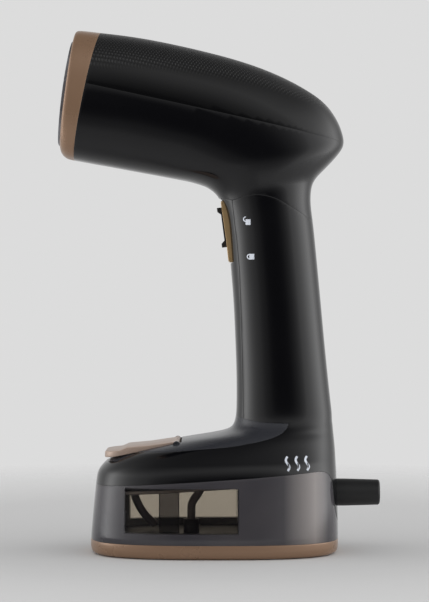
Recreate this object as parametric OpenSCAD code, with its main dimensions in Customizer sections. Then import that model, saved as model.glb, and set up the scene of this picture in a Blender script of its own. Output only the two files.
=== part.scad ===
// Handheld garment steamer that stands on its own water tank.
// Millimetres, +Z up, origin at the centre of the foot pad, steam face towards -X.

/* [Body] */
// Overall height of the body
body_h = 280; // [235:1:340]
// Length of the base from front to rear
base_len = 132.8; // [112:0.2:160]
// Width of the base
base_w = 88; // [74:1:106]
// Width of the head
head_w = 58; // [50:1:70]
// Width of the grip
grip_w = 42; // [36:1:51]
// Thickness of the moulded walls
wall = 2.2; // [1.8:0.1:2.7]
// Gap along each parting line
seam_gap = 0.25; // [0.1:0.05:0.4]

/* [Base and tank] */
// Height of the base cover
cover_h = 7.5; // [6:0.5:9]
// Thickness of the rubber foot pad
pad_t = 1.4; // [1:0.1:2]
// Height that the foot pad stands below the base cover
pad_proud = 0.4; // [0.2:0.1:0.8]
// Thickness of the tank floor, tank lid and bulkhead
tank_plate_t = 2; // [1.5:0.1:2.5]
// Bore radius of the filler neck
neck_bore_r = 9.5; // [7:0.5:11]

/* [Filler cap] */
// Width of the filler cap
cap_w = 40; // [34:1:48]
// Radius of the hinge pin
cap_pin_r = 1.1; // [0.8:0.1:1.3]
// Gap between the cap and its recess
cap_gap = 0.4; // [0.3:0.1:0.8]

/* [Trigger] */
// Width of the trigger
trigger_w = 16; // [12:1:19]
// Radius of the trigger pin
trigger_pin_r = 1.2; // [1:0.1:1.5]
// Gap between the trigger and its slot
trigger_gap = 0.4; // [0.3:0.1:0.7]
// Width of the lock slider
slider_w = 7; // [5:0.5:8.5]

/* [Cord guard] */
// Outer radius of the cord guard at its root
guard_r = 7.3; // [6:0.1:8.8]
// Radius of the cable bore through the cord guard
guard_bore_r = 3.6; // [2.5:0.1:4.4]
// Length of the cord guard outside the body
guard_len = 23.2; // [18:0.2:28]

/* [Pump] */
// Outer radius of the pump coil
pump_r = 12; // [10:0.5:14]
// Radius of the pump plunger
plunger_r = 4.5; // [3.5:0.1:5.5]
// Outer radius of the water hoses
hose_r = 2.2; // [1.8:0.1:2.6]

/* [Steam plate] */
// Height of the steam plate
plate_h = 56; // [48:1:58]
// Width of the steam plate
plate_w = 46; // [40:1:48]
// Radius of a steam hole
steam_hole_r = 1.1; // [0.8:0.1:1.5]

/* [Hidden] */
$fn = 48;
nominal_h = 279.6;
nominal_len = 132.8;
kx = base_len / nominal_len;
kz = body_h / nominal_h;
far = 400;
slip = 0.05;

// Running clearance for a pin in its bore
pin_gap = 0.06;

// Stations of the outer form, from the base, up the grip and round to the steam face:
// rear or top point x, z, front or lower point x, z, share of base width, share of
// head width, corner exponent of the section
stations = [
    [64.0, 0, -64.0, 0, 0.896, 0, 2.8],
    [65.6, 1.2, -65.6, 1.2, 0.965, 0, 2.8],
    [66.3, 3.6, -66.3, 3.6, 1, 0, 2.8],
    [66.4, 7.5, -66.4, 7.5, 1, 0, 2.8],
    [66.2, 24, -65.2, 22, 0.965, 0, 2.8],
    [65.6, 40, -63.6, 38, 0.913, 0, 2.8],
    [65.3, 46, -62.6, 43.5, 0.878, 0, 2.8],
    [65.1, 50, -60.4, 46.7, 0.817, 0, 2.75],
    [64.9, 54, -56.2, 50.5, 0.704, 0, 2.7],
    [64.6, 58, -47, 54.5, 0.565, 0, 2.65],
    [64.2, 62, -34, 57.5, 0.457, 0, 2.6],
    [63.9, 65, -20, 60.5, 0.33, 0, 2.5],
    [63.7, 67.5, -3.8, 62.9, 0.217, 0, 2.5],
    [63.4, 70, 7.6, 65.6, 0.126, 0, 2.4],
    [63.3, 73, 10.6, 69, 0.078, 0, 2.4],
    [63.1, 76, 11.6, 73.5, 0.052, 0, 2.4],
    [62.4, 82, 11.9, 80, 0.035, 0, 2.4],
    [61, 95, 11.9, 95, 0.017, 0, 2.4],
    [59, 115, 11.2, 115, 0, 0, 2.4],
    [56.9, 138, 10.2, 136, 0, 0, 2.4],
    [54.8, 160, 8.6, 155, 0, 0, 2.4],
    [53.3, 175, 7.5, 170, 0, 0, 2.4],
    [52.1, 184, 6.2, 180, 0, 0, 2.4],
    [51.8, 190, 4.4, 186, 0, 0.02, 2.4],
    [52.4, 196, 2.6, 189.5, 0, 0.08, 2.4],
    [54.6, 200.5, 0.8, 192, 0, 0.2, 2.4],
    [59, 205, -1.8, 194.3, 0, 0.35, 2.4],
    [64.2, 210.4, -5, 196.2, 0, 0.5, 2.4],
    [68.4, 215.6, -9.5, 197.7, 0, 0.61, 2.4],
    [69.7, 219.3, -14, 198.9, 0, 0.68, 2.4],
    [69.2, 223.6, -19, 199.9, 0, 0.73, 2.4],
    [66.4, 231.4, -25, 201, 0, 0.78, 2.4],
    [60, 240.4, -31.9, 202.3, 0, 0.825, 2.4],
    [50.2, 247.6, -38, 203.4, 0, 0.86, 2.4],
    [36, 255.2, -45, 204.7, 0, 0.9, 2.45],
    [18, 262.2, -51.5, 205.9, 0, 0.925, 2.5],
    [-2, 267.8, -58, 207.1, 0, 0.95, 2.5],
    [-24, 272.8, -64.4, 208.2, 0, 0.975, 2.55],
    [-43.7, 276.4, -70.5, 209.4, 0, 0.99, 2.6],
    [-62.6, 278.6, -77.2, 210.6, 0, 1, 2.6],
    [-68.5, 279.3, -80.2, 211.6, 0, 1, 2.6],
    [-73, 279.6, -82.2, 213.6, 0, 0.99, 2.6],
    [-74.1, 278.8, -82.8, 215.8, 0, 0.86, 2.6],
];
joint_station = 39;
ring_points = 40;

// Parting lines in side view, x and z
tank_line = [[-90, 36.4], [-63, 36.8], [-20, 39.55], [20, 42.2], [54, 44.9], [58, 44.8], [60.6, 43.4],
    [62.1, 40], [63, 33], [64, 24], [66, 16], [90, 16]];
deck_line = [[-90, 54.1], [-48, 54.5], [-28, 55.1], [-5, 57], [8, 58], [21, 60.2], [30, 62.3], [35.6, 64.6],
    [38.4, 67.3], [39.2, 69.6], [39.6, 100]];
foot_line = [[-90, 74], [12.3, 72.6], [24.5, 70.2], [36, 69.85], [90, 69.5]];
strip_line = [[9.4, 195], [9.6, 186], [10.8, 174.8], [11.8, 167.7], [12.3, 162], [13.3, 151], [14.4, 121],
    [14.95, 99], [15.4, 60]];
neck_line = [[-90, 189.8], [3.4, 189.8], [9.7, 187.5], [15.5, 189.8], [22.7, 190.9], [29, 190], [34.6, 188],
    [51.8, 178], [90, 156]];
head_line = [[-110, 258], [110, 210.6]];
cap_top = [[-58.4, 54.6], [-50.3, 55.3], [-46.5, 56.9], [-34.4, 58], [-20.2, 60.1]];
cap_under = [[-20.2, 57.6], [-33, 55.3], [-43, 53.9], [-53, 51.9], [-58.6, 51.3]];

// ---- outer form ----

function rear_point(i) = [stations[i][0] * kx, stations[i][1] * kz];
function front_point(i) = [stations[i][2] * kx, stations[i][3] * kz];
function half_width(i) = (grip_w + stations[i][4] * (base_w - grip_w)
    + stations[i][5] * (head_w - grip_w)) / 2;
function last_station() = len(stations) - 1;
function unit(v) = v / norm(v);
function rear_run(i) = unit(rear_point(min(i + 1, last_station())) - rear_point(max(i - 1, 0)));
function front_run(i) = unit(front_point(min(i + 1, last_station())) - front_point(max(i - 1, 0)));
function rear_inset(i, t) = rear_point(i) + t * [-rear_run(i)[1], rear_run(i)[0]];
function front_inset(i, t) = front_point(i) + t * [front_run(i)[1], -front_run(i)[0]];
function signed_power(v, e) = sign(v) * pow(abs(v), e);

// Closed section of the outer form at station i, moved inwards by t
function section(i, t) =
    let (a = rear_inset(i, t), b = front_inset(i, t), mid = (a + b) / 2, arm = (a - b) / 2,
        w = half_width(i) - t, e = 2 / stations[i][6])
    [for (k = [0 : ring_points - 1])
        let (angle = 360 * k / ring_points, u = signed_power(cos(angle), e))
        [mid[0] + arm[0] * u, w * signed_power(sin(angle), e), mid[1] + arm[1] * u]];

// Closed solid through a list of sections that all have the same number of points
module loft(rings) {
    n = len(rings[0]);
    last = len(rings) - 1;
    points = [for (r = rings) each r];
    sides = [for (i = [0 : last - 1]) for (k = [0 : n - 1]) let (m = (k + 1) % n)
        each [[i * n + k, i * n + n + m, i * n + m], [i * n + k, i * n + n + k, i * n + n + m]]];
    start_cap = [for (k = [1 : n - 2]) [0, k, k + 1]];
    end_cap = [for (k = [1 : n - 2]) [last * n, last * n + k + 1, last * n + k]];
    polyhedron(points, concat(sides, start_cap, end_cap));
}

// The outer form moved inwards by t, between two stations
module form(t = 0, first = 0, end = last_station()) {
    loft([for (i = [first : end]) section(i, t)]);
}

// One moulded piece, kept as one smooth faceted solid
module moulded() resize([0, 0, 0]) children();

function placed(line) = [for (p = line) [p[0] * kx, p[1] * kz]];
function lifted(line, dz) = [for (p = line) [p[0], p[1] + dz]];

// Prism across the body with the given outline in side view
module side_prism(outline, width = far) {
    rotate([90, 0, 0]) linear_extrude(height = width, center = true) polygon(outline);
}

// Everything above or below a parting line
module above(line, dz = 0) {
    p = lifted(placed(line), dz);
    side_prism(concat(p, [[p[len(p) - 1][0], far], [p[0][0], far]]));
}
module below(line, dz = 0) {
    p = lifted(placed(line), dz);
    side_prism(concat(p, [[p[len(p) - 1][0], -far], [p[0][0], -far]]));
}

module slab(z0, z1) translate([-far / 2, -far / 2, z0]) cube([far, far, z1 - z0]);

// Curved joint between the head and the bezel
joint_set = 1.8;
joint_top = rear_point(joint_station) + [joint_set, 0];
joint_bottom = front_point(joint_station) + [joint_set, 0];
joint_mid = (joint_top + joint_bottom) / 2;
joint_run = unit(joint_top - joint_bottom);
joint_bow = 0.9;
joint_r = (pow(norm(joint_top - joint_bottom) / 2, 2) + joint_bow * joint_bow) / (2 * joint_bow);
joint_axis = joint_mid + (joint_r - joint_bow) * [joint_run[1], -joint_run[0]];

module behind_joint(gap = 0) {
    translate([joint_axis[0], 0, joint_axis[1]])
        rotate([90, 0, 0]) cylinder(r = joint_r - gap, h = far, center = true, $fn = 240);
}

// Rounded outline with half sizes a along x and b along y
function squircle(a, b, e, n = 48) = [for (k = [0 : n - 1])
    let (angle = 360 * k / n) [a * signed_power(cos(angle), 2 / e), b * signed_power(sin(angle), 2 / e)]];

// ---- steam face frame: local +Z out of the face, local +X up the face ----
face_bottom = front_point(last_station());
face_top = rear_point(last_station());
plate_drop = 1.5;
face_mid = (face_top + face_bottom) / 2 - plate_drop * unit(face_top - face_bottom);
face_tilt = atan2(face_top[0] - face_bottom[0], face_top[1] - face_bottom[1]);
module at_face() translate([face_mid[0], 0, face_mid[1]]) rotate([0, face_tilt - 90, 0]) children();

plate_t = 7.2;
plate_back = -4.4;
plate_dome_r = 300;
plate_gap = 0.4;
gasket_t = 2;
chamber_back = plate_back - gasket_t - 26;
chamber_h = 48;
chamber_w = 40;
chamber_wall = 3.5;
cover_t = 3;
boss_x = 17;
boss_y = 13.5;
boss_r = 3.2;
chamber_screw_r = 1.5;

module face_block(h, w, z0, z1, e = 4) {
    translate([0, 0, z0]) linear_extrude(height = z1 - z0) polygon(squircle(h / 2, w / 2, e));
}

// Shallow dome that the front of the plate is cut to
module plate_dome() {
    steps = 8;
    rim = 40;
    translate([0, 0, plate_back]) rotate_extrude($fn = 96) polygon(concat([[0, 0], [rim, 0]],
        [for (k = [steps : -1 : 0]) let (r = rim * k / steps)
            [r, plate_t - plate_dome_r + sqrt(plate_dome_r * plate_dome_r - r * r)]]));
}

module steam_plate() {
    color([0.62, 0.62, 0.64]) at_face() difference() {
        intersection() {
            face_block(plate_h, plate_w, plate_back, plate_back + plate_t + 4, 3);
            plate_dome();
        }
        for (k = [0 : 9]) rotate(36 * k) translate([19, 0, plate_back - 1])
            cylinder(r = steam_hole_r, h = plate_t + 4, $fn = 24);
        for (k = [0 : 5]) rotate(60 * k) translate([10, 0, plate_back - 1])
            cylinder(r = steam_hole_r, h = plate_t + 4, $fn = 24);
    }
}

module face_bezel() {
    color([0.57, 0.46, 0.39]) moulded() difference() {
        form(0, joint_station - 3);
        behind_joint();
        at_face() face_block(plate_h + 2 * plate_gap, plate_w + 2 * plate_gap, -40, 40, 3);
        // notch for the brush clip
        translate([-68.5 * kx, 0, body_h - 0.2]) rotate([90, 0, 0]) cylinder(r = 1, h = 16, center = true);
    }
}

module plate_gasket() {
    color([0.25, 0.25, 0.26]) at_face() difference() {
        face_block(chamber_h, chamber_w, plate_back - gasket_t, plate_back);
        face_block(chamber_h - 2 * chamber_wall, chamber_w - 2 * chamber_wall, plate_back - gasket_t - 1,
            plate_back + 1);
    }
}

module at_bosses() for (x = [-boss_x, boss_x]) for (y = [-boss_y, boss_y]) translate([x, y, 0]) children();

module steam_chamber() {
    color([0.7, 0.7, 0.7]) at_face() difference() {
        union() {
            difference() {
                face_block(chamber_h, chamber_w, chamber_back, plate_back - gasket_t);
                face_block(chamber_h - 2 * chamber_wall, chamber_w - 2 * chamber_wall,
                    chamber_back + chamber_wall, plate_back);
            }
            at_bosses() translate([0, 0, chamber_back + 1]) cylinder(r = boss_r, h = 14);
        }
        at_bosses() translate([0, 0, chamber_back - 1]) cylinder(r = chamber_screw_r + slip, h = 12);
        // legs of the heating element and the water inlet
        for (y = [-element_r, element_r]) translate([element_x, y, chamber_back - 1])
            cylinder(r = element_rod_r + slip, h = 10);
        translate([inlet_x, 0, chamber_back - 1]) cylinder(r = hose_r + slip, h = 10);
    }
}

// Heating element: a U of rod lying in the chamber
element_r = 10;
element_rod_r = 2.6;
element_x = 9;
element_mid = chamber_back + 12;
element_tail = 9;
inlet_x = -14;

module heating_element() {
    color([0.45, 0.43, 0.42]) at_face() {
        for (y = [-element_r, element_r]) translate([element_x, y, chamber_back - cover_t - element_tail])
            cylinder(r = element_rod_r, h = element_mid - chamber_back + cover_t + element_tail);
        translate([element_x, 0, element_mid]) rotate([90, 0, 90])
            rotate_extrude(angle = 180) translate([element_r, 0]) circle(r = element_rod_r);
    }
}

module chamber_cover() {
    color([0.5, 0.5, 0.52]) at_face() difference() {
        face_block(chamber_h, chamber_w, chamber_back - cover_t, chamber_back);
        at_bosses() translate([0, 0, chamber_back - cover_t - 1]) cylinder(r = chamber_screw_r + slip, h = 9);
        for (y = [-element_r, element_r]) translate([element_x, y, chamber_back - cover_t - 1])
            cylinder(r = element_rod_r + slip, h = 10);
        translate([inlet_x, 0, chamber_back - cover_t - 1]) cylinder(r = hose_r + slip, h = 10);
    }
}

module chamber_screws() {
    color([0.75, 0.75, 0.77]) at_face() at_bosses() {
        translate([0, 0, chamber_back - cover_t - 2]) cylinder(r = 2.8, h = 2);
        translate([0, 0, chamber_back - cover_t - 0.5]) cylinder(r = chamber_screw_r, h = 12);
    }
}

module thermostat() {
    color([0.85, 0.83, 0.78]) at_face() translate([-2, 0, chamber_back - cover_t]) {
        translate([0, 0, -5]) cylinder(r = 7, h = 5);
        translate([0, 0, -8]) cylinder(r = 5, h = 3.5);
        for (y = [-3, 3]) translate([-1.5, y - 0.4, -13]) cube([3, 0.8, 6]);
    }
}

module thermal_fuse() {
    color([0.9, 0.9, 0.88]) at_face() translate([19, 0, chamber_back - cover_t - 2.2])
        rotate([90, 0, 0]) {
            cylinder(r = 2.2, h = 12, center = true);
            cylinder(r = 0.6, h = 20, center = true);
        }
}

// ---- head ----

module head_upper_shell() {
    color([0.07, 0.07, 0.08]) moulded() intersection() {
        difference() {
            form(0, 26);
            form(wall, 24);
        }
        above(head_line, seam_gap);
        behind_joint(seam_gap);
    }
}

collar_depth = 14;
collar_front = 27 * kx;

module head_lower_shell() {
    color([0.09, 0.08, 0.08]) moulded() {
        intersection() {
            difference() {
                form(0, 20);
                form(wall, 19);
            }
            below(head_line);
            above(neck_line);
            behind_joint(seam_gap);
        }
        // collar that plugs into the rear of the grip
        intersection() {
            difference() {
                form(wall - 0.6, 19, 32);
                form(2 * wall, 18, 33);
            }
            above(neck_line, 1);
            below(neck_line, 5);
            translate([collar_front, -far / 2, 0]) cube(far);
        }
        intersection() {
            difference() {
                form(wall + seam_gap, 19, 32);
                form(2 * wall + seam_gap, 18, 33);
            }
            above(neck_line, -collar_depth);
            below(neck_line, 3);
            translate([collar_front, -far / 2, 0]) cube(far);
        }
    }
}

// ---- grip and deck ----

guard_z = 31.5 * kz;
guard_wall_x = 65.8 * kx;

// Everything ahead of a line that runs down the front of the grip
module ahead_of(line, dx = 0) {
    p = [for (q = placed(line)) [q[0] + dx, q[1]]];
    side_prism(concat([[-far, p[0][1]]], p, [[-far, p[len(p) - 1][1]]]));
}

module guard_hole() {
    translate([50 * kx, 0, guard_z]) rotate([0, 90, 0]) cylinder(r = guard_r + seam_gap, h = 40);
}

module grip_shell() {
    color([0.05, 0.05, 0.06]) moulded() difference() {
        intersection() {
            difference() {
                form(0, 3, 27);
                form(wall, 2, 28);
            }
            above(tank_line, seam_gap);
            below(neck_line, -seam_gap);
        }
        intersection() {
            above(deck_line);
            below(foot_line);
        }
        ahead_of(strip_line);
        guard_hole();
        cap_band(seam_gap);
        cap_recess();
        translate([neck_x, 0, 0]) cylinder(r = cap_boss_r + 1, h = far);
    }
}

// The deck's bed under the filler cap, and all above it
module cap_band(gap = 0) {
    intersection() {
        above(cap_under_line, -cap_gap - tank_plate_t - gap);
        translate([-90 * kx, -cap_w / 2 - 2 - gap, 0]) cube([75 * kx, cap_w + 4 + 2 * gap, far]);
    }
}

// Room for the filler cap and its hinge
module cap_recess() {
    intersection() {
        union() {
            above(cap_under_line, -cap_gap);
            translate([hinge_x, 0, hinge_z]) rotate([90, 0, 0])
                cylinder(r = hinge_r + cap_gap, h = far, center = true);
        }
        translate([-90 * kx, -cap_w / 2 - cap_gap, 0])
            cube([90 * kx + hinge_x + hinge_recess, cap_w + 2 * cap_gap, far]);
    }
}

module tank_deck() {
    color([0.32, 0.32, 0.35]) difference() {
        union() {
            moulded() difference() {
                union() {
                    intersection() {
                        difference() {
                            form(0, 5, 17);
                            form(wall, 4, 18);
                        }
                        above(deck_line, seam_gap);
                        below(foot_line, -seam_gap);
                    }
                    // bed under the filler cap
                    intersection() {
                        form(0, 5, 17);
                        cap_band();
                        below(cap_under_line, -cap_gap);
                    }
                }
                cap_recess();
                translate([neck_x, 0, 0]) cylinder(r = cap_boss_r + 1, h = far);
            }
            cap_ears();
        }
        translate([hinge_x, 0, hinge_z]) rotate([90, 0, 0])
            cylinder(r = cap_pin_r + slip, h = cap_pin_l + 2 * slip, center = true);
    }
}

// ---- filler cap ----
cap_under_line = [[-90, 46.9], [-58.6, 51.3], [-53, 51.9], [-43, 53.9], [-33, 55.3], [-20.2, 57.6], [0, 61.2]];
hinge_x = -20.1 * kx;
hinge_z = 58.5 * kz;
hinge_r = 1.85;
hinge_recess = 2.6;
ear_t = 2.4;
ear_skin = 0.7;
cap_pin_l = cap_w + 2 * (cap_gap + ear_t - ear_skin);
neck_x = -36.5 * kx;
neck_top = 51 * kz;
neck_wall = 2;
cap_boss_r = neck_bore_r + neck_wall + 0.6;
cap_boss_z = neck_top + 1.6;
seal_gap = 0.15;

module cap_ears() {
    for (s = [-1, 1]) translate([hinge_x, s * (cap_w / 2 + cap_gap + ear_t / 2), hinge_z]) rotate([90, 0, 0]) {
        cylinder(r = hinge_r + 0.1, h = ear_t, center = true);
        translate([-hinge_r - 0.1, -6, -ear_t / 2]) cube([2 * hinge_r + 0.2, 6, ear_t]);
    }
}

module filler_cap() {
    color([0.6, 0.52, 0.47]) difference() {
        union() {
            intersection() {
                side_prism(placed(concat(cap_top, cap_under)), cap_w);
                cap_plan();
            }
            translate([hinge_x, 0, hinge_z]) rotate([90, 0, 0]) cylinder(r = hinge_r, h = cap_w, center = true);
            intersection() {
                translate([neck_x, 0, cap_boss_z]) cylinder(r = cap_boss_r, h = 8);
                side_prism(placed(concat(cap_top, [[-20.2, 40], [-58.4, 40]])), cap_w);
            }
        }
        translate([hinge_x, 0, hinge_z]) rotate([90, 0, 0])
            cylinder(r = cap_pin_r + pin_gap, h = cap_w + 2, center = true);
    }
}

cap_corner_r = 9;
module cap_plan() {
    front = -58.6 * kx;
    translate([front + cap_corner_r, -cap_w / 2, 0]) cube([far, cap_w, far]);
    translate([front, -cap_w / 2 + cap_corner_r, 0]) cube([far, cap_w - 2 * cap_corner_r, far]);
    for (s = [-1, 1]) translate([front + cap_corner_r, s * (cap_w / 2 - cap_corner_r), 0])
        cylinder(r = cap_corner_r, h = far);
}

module filler_seal() {
    color([0.3, 0.3, 0.3]) translate([neck_x, 0, neck_top + seal_gap]) difference() {
        cylinder(r = cap_boss_r, h = cap_boss_z - neck_top - seal_gap);
        translate([0, 0, -1]) cylinder(r = neck_bore_r - 1, h = 8);
    }
}

module filler_pin() {
    color([0.35, 0.35, 0.36]) translate([hinge_x, 0, hinge_z]) rotate([90, 0, 0])
        cylinder(r = cap_pin_r, h = cap_pin_l, center = true);
}

// ---- base and tank ----

pad_l = 92;
pad_b = 56;
base_screw_x = 52;
base_screw_y = 24;
base_screw_r = 1.5;
base_head_r = 3;
post_r = 3.6;
post_h = 10;

module at_base_screws() for (x = [-base_screw_x, base_screw_x]) for (y = [-base_screw_y, base_screw_y])
    translate([x * kx, y * base_w / 88, 0]) children();

module base_cover() {
    color([0.56, 0.45, 0.37]) difference() {
        moulded() difference() {
            intersection() {
                form(0, 0, 4);
                slab(pad_proud, cover_h);
            }
            intersection() {
                form(wall, 0, 5);
                slab(pad_proud + 3, far);
            }
        }
        translate([0, 0, -1]) linear_extrude(height = pad_t + 1)
            polygon(squircle((pad_l / 2 + slip) * kx, (pad_b / 2 + slip) * base_w / 88, 4));
        at_base_screws() {
            cylinder(r = base_screw_r + slip, h = 20);
            translate([0, 0, -1]) cylinder(r = base_head_r + 0.2, h = pad_proud + 2.5);
        }
    }
}

module foot_pad() {
    color([0.1, 0.1, 0.1]) linear_extrude(height = pad_t)
        polygon(squircle(pad_l / 2 * kx, pad_b / 2 * base_w / 88, 4));
}

module base_screws() {
    color([0.7, 0.7, 0.72]) at_base_screws() {
        translate([0, 0, pad_proud + 0.3]) cylinder(r = base_head_r, h = 1.2);
        translate([0, 0, pad_proud + 1]) cylinder(r = base_screw_r, h = 14);
    }
}

bulkhead_x = 12 * kx;
column_x = -24.5 * kx;
column_l = 11;
column_w = 6;
lid_drop = 3;
floor_top = cover_h + slip + tank_plate_t;

module water_tank() {
    color([0.4, 0.4, 0.44, 0.6]) difference() {
        moulded() difference() {
            intersection() {
                form(0, 2, 9);
                below(tank_line);
                slab(cover_h + slip, far);
            }
            form(wall, 1, 10);
        }
        guard_hole();
    }
}

// Floor let into the tank wall, with the posts for the base screws
module tank_floor() {
    color([0.3, 0.3, 0.34, 0.6]) difference() {
        moulded() intersection() {
            form(wall + 0.15, 2, 9);
            union() {
                slab(cover_h + slip, floor_top);
                at_base_screws() translate([0, 0, cover_h + 1]) cylinder(r = post_r, h = post_h);
            }
        }
        at_base_screws() cylinder(r = base_screw_r + slip, h = cover_h + 9);
    }
}

// Bulkhead and column, which stand on the tank floor and reach up to the lid
module tank_baffles() {
    color([0.4, 0.4, 0.44, 0.6]) {
        moulded() intersection() {
            form(wall + 0.15, 2, 9);
            slab(floor_top, far);
            below(tank_line, -lid_drop - tank_plate_t - slip);
            translate([bulkhead_x, -far / 2, 0]) cube([tank_plate_t, far, far]);
        }
        intersection() {
            slab(floor_top, far);
            below(tank_line, -lid_drop - tank_plate_t - slip);
            translate([column_x - column_l / 2, -column_w / 2, 0]) cube([column_l, column_w, far]);
        }
    }
}

lid_end = bulkhead_x + tank_plate_t;

module tank_lid() {
    color([0.2, 0.2, 0.22, 0.8]) difference() {
        union() {
            moulded() intersection() {
                form(wall + 1, 2, 9);
                below(tank_line, -lid_drop);
                above(tank_line, -lid_drop - tank_plate_t);
                translate([lid_end - far, -far / 2, 0]) cube(far);
            }
            translate([neck_x, 0, lid_neck_z]) cylinder(r = neck_bore_r + neck_wall, h = neck_top - lid_neck_z);
        }
        translate([neck_x, 0, 0]) cylinder(r = neck_bore_r, h = far);
        translate([suction_x, 0, 0]) cylinder(r = hose_r + slip, h = far);
        translate([vent_x, vent_y, 0]) cylinder(r = hose_r + slip, h = far);
    }
}

lid_neck_z = 34.5 * kz;
suction_x = -6 * kx;
vent_x = -44 * kx;
vent_y = 16;

module lid_seal() {
    color([0.5, 0.5, 0.5]) moulded() difference() {
        intersection() {
            form(wall + 0.15, 2, 9);
            below(tank_line, -lid_drop - 0.3);
            above(tank_line, -lid_drop - tank_plate_t + 0.3);
            translate([lid_end - far, -far / 2, 0]) cube(far);
        }
        form(wall + 0.8, 1, 10);
    }
}

// Round tube along a path in the plane y = 0, sections square to the path
module hose(path, r, sides = 12) {
    last = len(path) - 1;
    loft([for (i = [0 : last])
        let (run = unit(path[min(i + 1, last)] - path[max(i - 1, 0)]))
        [for (k = [0 : sides - 1]) let (a = 360 * k / sides)
            [path[i][0] - run[1] * r * cos(a), -r * sin(a), path[i][1] + run[0] * r * cos(a)]]]);
}

// Smooth curve through three control points, x and z
function curve(a, b, c, n = 8) = [for (i = [0 : n]) let (t = i / n)
    (1 - t) * (1 - t) * a + 2 * t * (1 - t) * b + t * t * c];

pickup_foot = [-12.5 * kx, 14 * kz];

module pickup_hose() {
    color([0.75, 0.73, 0.7]) moulded() hose(concat(
        [pickup_foot], curve(pickup_foot + [0, 4], [-12 * kx, 27 * kz], [suction_x, 33 * kz]),
        [[suction_x, 44 * kz]]), hose_r);
}

module pickup_weight() {
    color([0.3, 0.3, 0.32]) translate([pickup_foot[0], 0, cover_h + tank_plate_t + 0.2]) difference() {
        cylinder(r = 4.2, h = pickup_foot[1] - cover_h - tank_plate_t + 3);
        translate([0, 0, pickup_foot[1] - cover_h - tank_plate_t - 0.3]) cylinder(r = hose_r + 0.15, h = 20);
    }
}

// Dip tube of the air valve, slanting down from the lid
module vent_hose() {
    color([0.75, 0.73, 0.7]) translate([0, vent_y, 0]) moulded() hose(concat(
        [[vent_x, 40 * kz], [vent_x, 31 * kz]],
        curve([vent_x, 29 * kz], [-40 * kx, 20 * kz], [-32 * kx, 12 * kz])), hose_r);
}

module vent_valve() {
    color([0.6, 0.6, 0.58]) translate([vent_x, vent_y, 38 * kz]) difference() {
        cylinder(r = 4, h = 7 * kz);
        translate([0, 0, -1]) cylinder(r = hose_r + 0.15, h = 1 + 3 * kz);
        cylinder(r = 1, h = far);
    }
}

// ---- pump ----
pump_x = 37 * kx;
pump_foot = 92 * kz;
pump_len = 34;
pump_top = pump_foot + pump_len;
bracket_t = 3;
stub_len = 8;
spring_free = 8;
plunger_len = 14;
plunger_foot = pump_foot + 4;
chamber_top = plunger_foot + plunger_len + spring_free;

module pump_body() {
    color([0.2, 0.3, 0.5]) translate([pump_x, 0, 0]) difference() {
        union() {
            translate([0, 0, pump_foot]) cylinder(r = pump_r, h = pump_len);
            translate([0, 0, pump_foot - stub_len]) cylinder(r = 3.4, h = stub_len + 1);
            translate([0, 0, pump_top - 1]) cylinder(r = 3.4, h = stub_len + 1);
        }
        translate([0, 0, plunger_foot]) cylinder(r = plunger_r + 0.1, h = chamber_top - plunger_foot);
        translate([0, 0, pump_foot - stub_len - 1]) cylinder(r = hose_r + slip, h = 7);
        translate([0, 0, pump_top + stub_len - 6]) cylinder(r = hose_r + slip, h = 7);
        translate([0, 0, pump_foot - stub_len]) cylinder(r = 1.2, h = pump_len + 2 * stub_len);
    }
}

module pump_plunger() {
    color([0.75, 0.75, 0.78]) translate([pump_x, 0, plunger_foot + slip]) difference() {
        cylinder(r = plunger_r, h = plunger_len - slip);
        translate([0, 0, -1]) cylinder(r = 1.2, h = plunger_len + 2);
    }
}

// Close-wound spring: stacked turns on one axis
module spring(r, wire, length, turns) {
    rings = turns - 1;
    for (k = [0 : rings]) translate([0, 0, wire + (length - 2 * wire) * k / rings])
        rotate_extrude() translate([r, 0]) circle(r = wire, $fn = 16);
    for (s = [-1, 1]) translate([s * r, 0, wire]) cylinder(r = wire * 0.6, h = length - 2 * wire, $fn = 16);
}

module pump_spring() {
    color([0.8, 0.8, 0.8]) translate([pump_x, 0, plunger_foot + plunger_len])
        spring(plunger_r - 1.2, 0.45, spring_free, 5);
}

module pump_bracket() {
    color([0.15, 0.15, 0.15]) difference() {
        moulded() intersection() {
            form(wall + 0.15, 14, 22);
            slab(pump_foot - bracket_t, pump_foot);
            translate([18 * kx, -far / 2, 0]) cube([36 * kx, far, far]);
        }
        translate([pump_x, 0, 0]) cylinder(r = 3.4 + slip, h = pump_foot + 1);
    }
}

module suction_hose() {
    color([0.75, 0.73, 0.7]) moulded() hose(concat(
        [[suction_x, 44 * kz + slip], [suction_x, 46 * kz]],
        curve([suction_x, 47 * kz], [suction_x, 52.5 * kz], [4 * kx, 54 * kz], 6),
        curve([12 * kx, 56.5 * kz], [pump_x, 60 * kz], [pump_x, 72 * kz], 8),
        [[pump_x, pump_foot - stub_len + 5]]), hose_r);
}

inlet_x_world = face_mid[0] - sin(90 - face_tilt) * (chamber_back - cover_t) + cos(90 - face_tilt) * inlet_x;
inlet_z_world = face_mid[1] + cos(90 - face_tilt) * (chamber_back - cover_t) + sin(90 - face_tilt) * inlet_x;
inlet_run = [sin(90 - face_tilt), -cos(90 - face_tilt)];
inlet_start = [inlet_x_world, inlet_z_world];

module delivery_hose() {
    color([0.75, 0.73, 0.7]) moulded() hose(concat(
        [[pump_x, pump_top + stub_len - 5.5], [pump_x, 150 * kz], [pump_x, 178 * kz]],
        curve([pump_x, 184 * kz], [pump_x, 212 * kz], [6 * kx, 222 * kz], 10),
        [inlet_start + 12 * inlet_run, inlet_start, inlet_start - 5 * inlet_run]), hose_r);
}

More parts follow.
